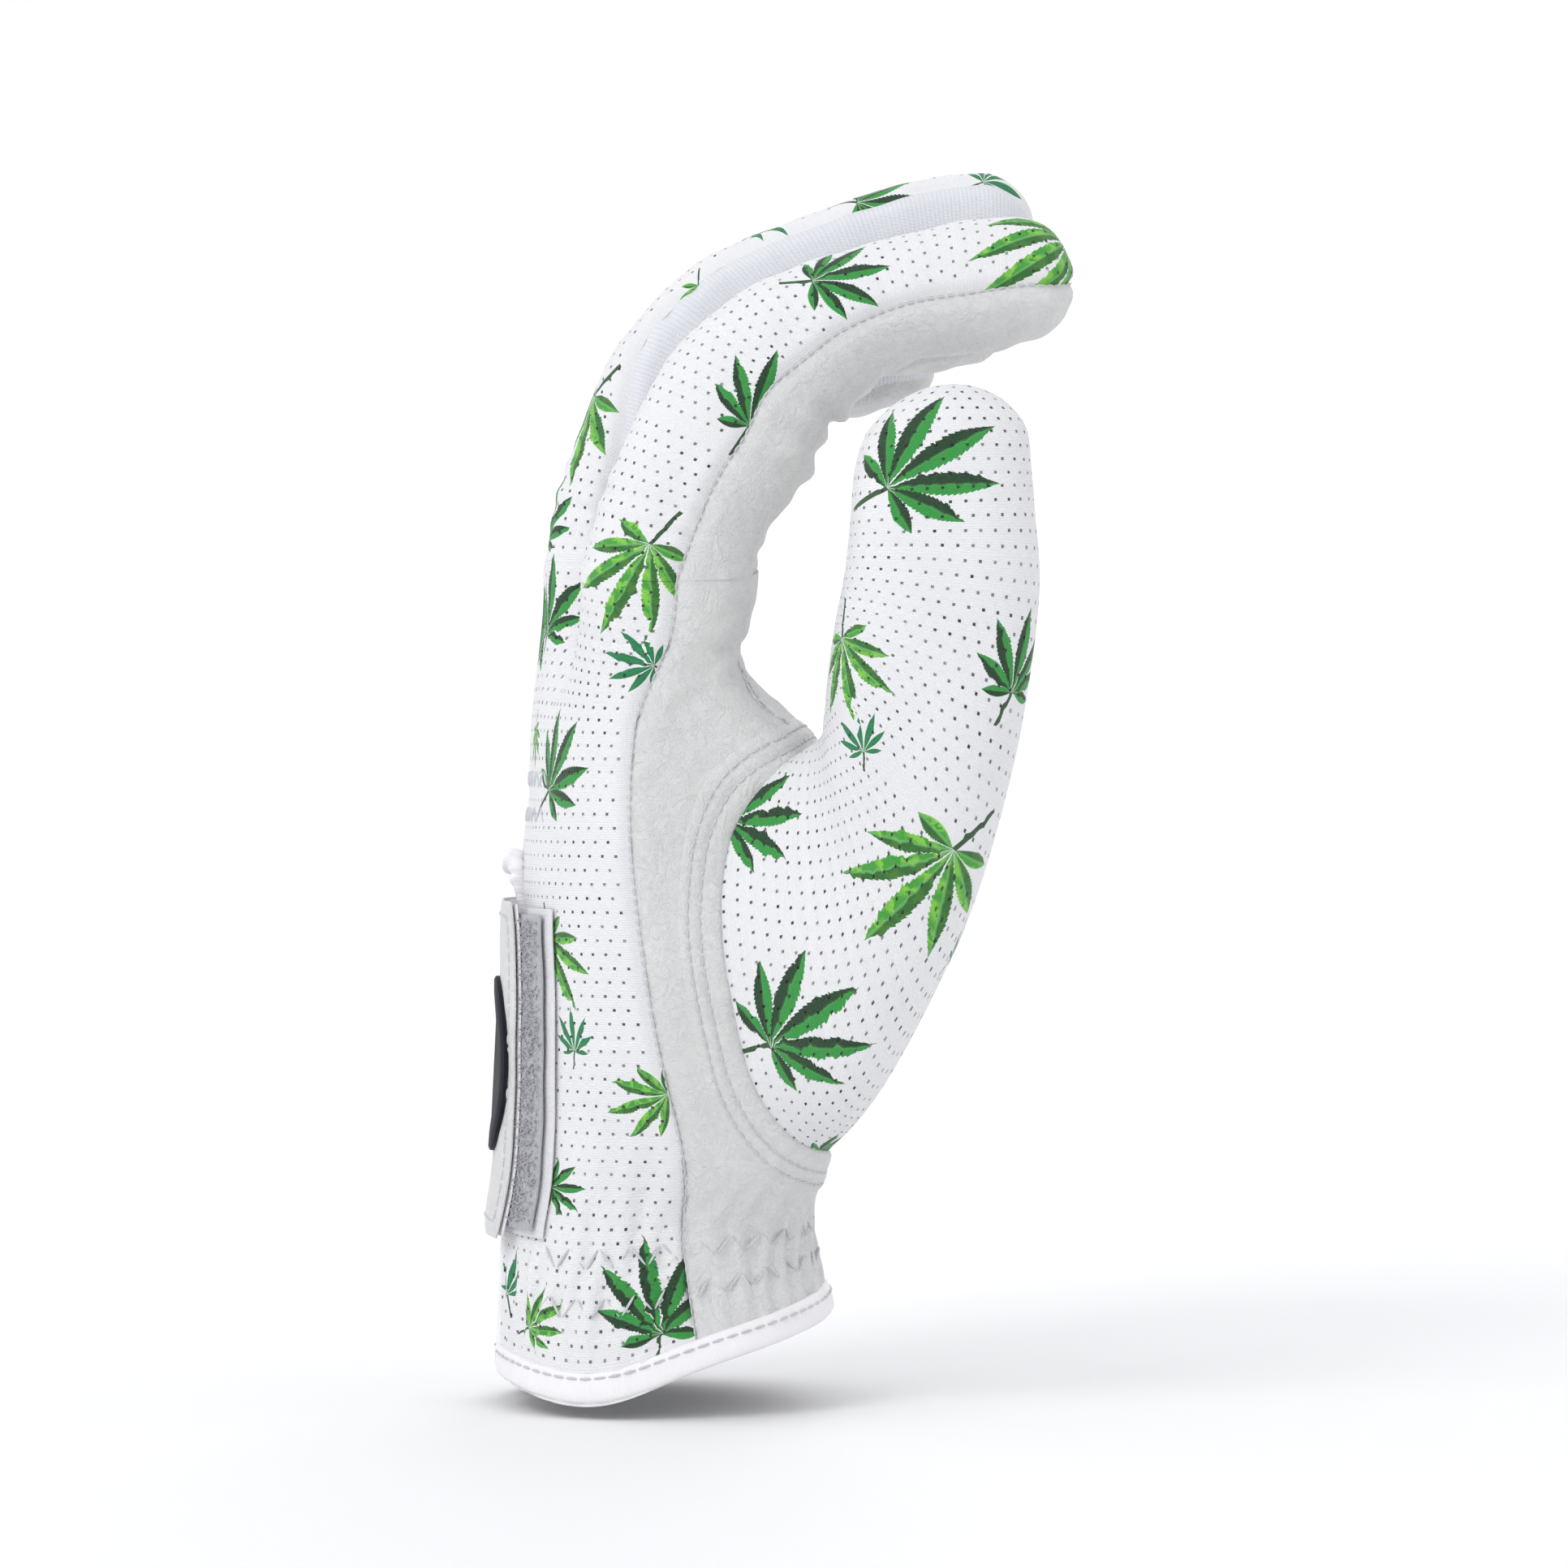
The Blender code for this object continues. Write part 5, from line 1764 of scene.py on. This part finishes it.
vent_y_line, vent_z_line = vent_line(150)
vent_degrees = np.array([back_angle(y, min(z, 125.0)) for y, z in zip(vent_y_line, vent_z_line)])
vent_path, vent_out = hand_point(vent_degrees, vent_z_line)
puff = bump(vent_z_line, VENT_TOP - 1.0, 5.0)
count = np.arange(len(puff))
crinkle = 0.35 * np.sin(count * 1.9) + 0.25 * np.sin(count * 0.83)
vent_path = vent_path + vent_out * (puff * (1.5 + crinkle) - 0.2)[:, None]
vent_sizes = 1.0 + puff * (0.75 + 0.4 * crinkle)
vent_profile = rounded(1.9, 2.3, 2.4, 16)[None] * vent_sizes[:, None, None]
vent = band("vent_binding_tape", vent_path, vent_out, vent_profile, "binding")
dress(vent, "root", "binding", "vent_binding")


def elastic(name, angles, heights, node):
    """A gathered band of elastic inside the hand."""
    degrees, levels = np.meshgrid(np.linspace(*angles, 240), np.linspace(*heights, 12))
    grid, normal = hand_point(degrees, levels, -1.75)
    gather = 0.15 * np.sin(degrees * 1.1)
    grid = grid + normal * gather[..., None]
    obj = closed_panel(name, grid, grid - normal * 0.8, "elastic", cloth_coordinates(grid))
    dress(obj, "root", "elastic", node)


elastic("wrist_elastic_band", (-150, 150), (11.0, 23.0), "wrist_elastic")
elastic("back_elastic_band", (152, 208), (90.0, 100.0), "back_elastic")
print("hem:", round(walked(hem_path)[-1]), "mm, vent:", round(walked(vent_path)[-1]), "mm")

# %% [markdown]
# ## The closing tab
# The tab is leather over a white backing. Its hook tape grips the loop tape on the back, and
# both show past its free edge. The badge is a plain disc of black rubber.

# %% Tab, tapes and badge
TAB_LOW, TAB_HIGH, TAB_SPAN = 22.0, 78.0, 24.0


def tab_outline(y, z):
    """Rounds the tab's free corners a little."""
    v = (z - TAB_MIDDLE) / 28.0
    free = smooth_step(-y, 8.0, 17.0)
    return y + 2.2 * np.abs(v) ** 8 * free, z


loops, _, _ = sheet_on_back("loop_patch_tape", (-26.0, -8.0), (23.0, 77.0), 0.95, 0.65, "loop_tape")
dress(loops, "root", "loop_tape", "loop_patch")
hooks, hook_top, hook_normal = sheet_on_back(
    "hook_pad_tape", (-24.3, -8.0), (24.0, 76.0), 2.25, 1.0, "hook_tape", swell=0.15
)
dress(hooks, "tab", "hook_tape", "hook_pad")
heights = (TAB_LOW + 0.4, TAB_HIGH - 0.4)
backing, _, _ = sheet_on_back(
    "tab_backing", (-17.6, TAB_SPAN), heights, 2.85, 0.45, "binding", shape=tab_outline
)
dress(backing, "tab", "binding")
heights = (TAB_LOW, TAB_HIGH)
tab, tab_top, _ = sheet_on_back(
    "tab_leather_cloth", (-17.0, TAB_SPAN), heights, 3.8, 0.8, "leather", shape=tab_outline, swell=0.3
)
dress(tab, "tab", "leather", "tab_leather")
print("the tab's leather has", len(tab.data.polygons), "faces")

# %% [markdown]
# ## The badge
# The badge is turned like a coin: a profile of radius and height, carried round in a ring. The
# disc sits on the tab and takes its bend.

# %% Badge
BADGE_RADIUS, BADGE_STEPS = 15.0, 72
BADGE_PROFILE = ((0.0, 0.75), (0.80, 0.75), (0.84, 1.0), (0.96, 1.0), (1.0, 0.7), (1.0, 0.0))


def badge_disc():
    """A disc with a raised rim, bent to the back of the hand."""
    radius, steps = BADGE_RADIUS, BADGE_STEPS
    points = []
    for share, height in BADGE_PROFILE:
        turn = np.linspace(0, 2 * math.pi, steps, endpoint=False)
        y, z = radius * share * np.cos(turn), TAB_MIDDLE + radius * share * np.sin(turn)
        degrees = np.array([back_angle(v, TAB_MIDDLE) for v in y])
        ring, _ = hand_point(degrees, z, 3.95 + height)
        points.append(ring)
    grid = np.array(points)
    rows = len(BADGE_PROFILE)
    index = np.arange(rows * steps).reshape(rows, steps)
    inner, outer = index[:-1], index[1:]
    corners = [inner, np.roll(inner, -1, 1), np.roll(outer, -1, 1), outer]
    quads = np.stack(corners, axis=2)
    faces = [tuple(f) for f in quads[1:].reshape(-1, 4).tolist()]
    faces += [tuple(index[1].tolist()), tuple(index[-1, ::-1].tolist())]
    mesh = bpy.data.meshes.new("badge_disc")
    used = grid.reshape(-1, 3) * MM
    mesh.from_pydata(used.tolist(), [], faces)
    return finished("badge_disc", mesh, "badge_rubber", 35)


dress(badge_disc(), "tab", "badge_rubber", "badge")
print("badge:", 2 * BADGE_RADIUS, "mm wide")

# %% [markdown]
# ## The folded edge round the thumb
# The palm leather ends in a fold that lies on the thumb's mesh, held by two rows of stitches.

# %% The fold
# Millimetres outwards from the hole's edge, and millimetres off the leather.
WELT = (
    (-1.7, 0.15), (-1.55, 0.75), (-0.9, 1.05), (0.3, 1.0), (1.5, 0.8), (2.1, 0.5),
    (2.7, 0.72), (3.5, 0.66), (4.1, 0.36), (4.8, 0.38), (5.6, 0.05), (6.2, -0.35),
)


def make_welt():
    """A strip that follows the loop, with two dips where the stitches pull it in."""
    rows = [on_palm(*loop_offsets(distance).T, lift) for distance, lift in WELT]
    grid = np.array(rows).transpose(1, 0, 2)
    grid = np.concatenate([grid, grid[:1]])
    normal = np.repeat(on_palm(*loop_offsets(2.0).T, 1.0)[:, None], len(WELT), axis=1)
    normal = np.concatenate([normal, normal[:1]])
    base = np.array([on_palm(*loop_offsets(2.0).T, 0.0)] * len(WELT)).transpose(1, 0, 2)
    base = np.concatenate([base, base[:1]])
    inner = grid - (normal - base) * 0.45
    obj = closed_panel("thumb_hole_fold", grid, inner, "leather", cloth_coordinates(grid))
    dress(obj, "root", "leather")
    return obj


print("faces of the fold:", len(make_welt().data.polygons))

# %% [markdown]
# ## Stitches
# A row of stitches is a chain of short edges. Geometry Nodes put one small bead of thread on
# each edge, turned along it, so that every seam is one tidy mesh.

# %% The needle
def stitch_tree():
    """A bead of thread, `Radius` thick, on each edge; `Fill` is its half length per edge."""
    group = Group("stitches", Radius="Float", Fill="Float", Thread="Material")
    given = group.given
    ends = group.add("GeometryNodeInputMeshEdgeVertices")
    way = {0: ends["Position 2"], 1: ends["Position 1"]}
    way = group.add("ShaderNodeVectorMath", {"operation": "SUBTRACT"}, way)["Vector"]
    # The edge's own vector travels with the point that stands for the edge.
    kind = {"data_type": "FLOAT_VECTOR", "domain": "EDGE"}
    values = {"Geometry": given["Geometry"], "Name": "way", "Value": way}
    kept = group.add("GeometryNodeStoreNamedAttribute", kind, values)["Geometry"]
    points = group.add("GeometryNodeMeshToPoints", {"mode": "EDGES"}, {"Mesh": kept})["Points"]
    kind = {"data_type": "FLOAT_VECTOR"}
    read = group.add("GeometryNodeInputNamedAttribute", kind, {"Name": "way"})["Attribute"]
    length = group.add("ShaderNodeVectorMath", {"operation": "LENGTH"}, {0: read})["Value"]
    half = group.add("ShaderNodeMath", {"operation": "MULTIPLY"}, {0: length, 1: given["Fill"]})[0]
    sizes = {0: given["Radius"], 1: given["Radius"], 2: half}
    size = group.add("ShaderNodeCombineXYZ", {}, sizes)["Vector"]
    turn = group.add("FunctionNodeAlignRotationToVector", {}, {"Vector": read})["Rotation"]
    values = {"Segments": 8, "Rings": 6, "Radius": 1.0}
    bead = group.add("GeometryNodeMeshUVSphere", {}, values)["Mesh"]
    bead = group.add("GeometryNodeSetShadeSmooth", {}, {"Geometry": bead})["Geometry"]
    values = {"Points": points, "Instance": bead, "Rotation": turn, "Scale": size}
    beads = group.add("GeometryNodeInstanceOnPoints", {}, values)["Instances"]
    return group.finish(beads, "Thread")


STITCHES = stitch_tree()


def even_line(points, pitch, closed=False):
    """A line of points read again at equal steps of about one pitch."""
    points = np.asarray(points, float)
    if closed:
        points = np.concatenate([points, points[:1]])
    length = walked(points)
    count = max(1, round(length[-1] / pitch))
    share = np.linspace(0, length[-1], count + 1)
    return np.stack([np.interp(share, length, points[:, k]) for k in range(3)], axis=1)


def sew(name, lines, radius=0.24, fill=0.42, thread="thread"):
    """One mesh with a bead on each edge of each line."""
    points, edges = [], []
    for line in lines:
        start = len(points)
        points += (np.asarray(line) * MM).tolist()
        edges += [(k, k + 1) for k in range(start, len(points) - 1)]
    mesh = bpy.data.meshes.new(name)
    mesh.from_pydata(points, edges, [])
    obj = bpy.data.objects.new(name, mesh)
    bpy.context.scene.collection.objects.link(obj)
    return apply_tree(obj, STITCHES, Radius=radius * MM, Fill=fill, Thread=FINISH[thread])


print("stitches in 100 mm:", len(even_line([(0, 0, 0), (100, 0, 0)], 2.1)) - 1)

# %% [markdown]
# ## The rows
# Two rows hold the fold at the thumb, one row holds the hem, and zigzags hold the elastics. A
# zigzag stretches with its elastic, which a straight row wouldn't.

# %% Sew the hand
def zigzag(low_angle, high_angle, height, swing, step, reader, lift):
    """A zigzag round the hand: one stitch on each slope."""
    fine = np.linspace(low_angle, high_angle, 600)
    path = reader(fine, np.full(600, height), 0.0)
    length = walked(path)
    count = int(length[-1] / step)
    degrees = np.interp(np.arange(count + 1) * step, length, fine)
    levels = height + swing * np.where(np.arange(count + 1) % 2, 1.0, -1.0)
    return reader(degrees, levels, lift)


hand_rows = [
    even_line(on_palm(*loop_offsets(2.1).T, 0.62), 2.1, True),
    even_line(on_palm(*loop_offsets(4.2).T, 0.48), 2.1, True),
    even_line(hand_point(hem_angles, np.full(420, 3.9), 1.0)[0], 2.6),
]
for height in (13.6, 20.6):
    hand_rows.append(zigzag(-96.0, 83.5, height, 1.7, 2.9, on_palm, 0.16))
    hand_rows.append(zigzag(86.5, 140.0, height, 1.7, 2.9, on_back, 0.16))
    hand_rows.append(zigzag(222.0, 260.0, height, 1.7, 2.9, on_back, 0.16))
for height in (92.5, 98.5):
    hand_rows.append(zigzag(146.0, 214.0, height, 1.5, 2.6, on_back, 0.05))
web = near_places(((11.0, 115.5), (13.2, 111.6), (16.2, 108.4), (20.0, 106.3), (23.0, 104.9)))
for shift in (0.0, 1.3):
    line = on_palm(web[:, 0] + shift * 1.4, web[:, 1] + shift, 0.12)
    line = smooth_rows(line, np.linspace(0, 4, 60))
    hand_rows.append(even_line(line, 1.9))
thread = sew("thread_on_hand", hand_rows)
dress(thread, "root", "leather")
print("rows on the hand:", len(hand_rows), "with", len(thread.data.polygons), "faces")

# %% [markdown]
# ## Seams, the tab's border and its hooks
# Thread also shows along the side seam and the index finger. The hooks of the tape under the
# tab are short beads that lean this way and that, scattered along its free edge.

# %% Sew the seams and the tab
seam = even_line(palm_grid[4:, -1] - palm_normal[4:, -1] * 0.25, 1.7)
dress(sew("side_seam_thread", [seam], 0.16, 0.4), "root", "leather")
for name, line, bend in SEAM_ROWS:
    bender(bend, [])(sew(name, [even_line(line, 1.7)], 0.16, 0.4))

tab_border = [tab_top[3:-3, 3], tab_top[-4, 3:-3], tab_top[3:-3, -4][::-1], tab_top[3, 3:-3][::-1]]
tab_rows = [even_line(np.concatenate(tab_border) + np.array([-0.05, 0, 0]), 2.3)]
thread = sew("thread_on_tab", tab_rows)
dress(thread, "tab", "leather")
HOOK_COUNT = 1500
hook_rows = []
scatter = np.random.default_rng(7)
tall, wide = hook_top.shape[:2]
feet_down = scatter.uniform(1, tall - 2, HOOK_COUNT)
feet_across = scatter.uniform(0.5, wide * 0.5, HOOK_COUNT)
for row, column in zip(feet_down, feet_across):
    foot = read_grid(hook_top, np.array([row]), np.array([column]))[0]
    lean = scatter.normal(size=3) * 0.22
    hook_rows.append(np.array([foot, foot + hook_normal[int(row), int(column)] * 0.35 + lean]))
fuzz = sew("hooks_on_pad", hook_rows, 0.13, 0.6, "hook_tape")
dress(fuzz, "tab", "hook_tape")
print("faces of the tab's thread:", len(thread.data.polygons), "and hooks:", HOOK_COUNT)
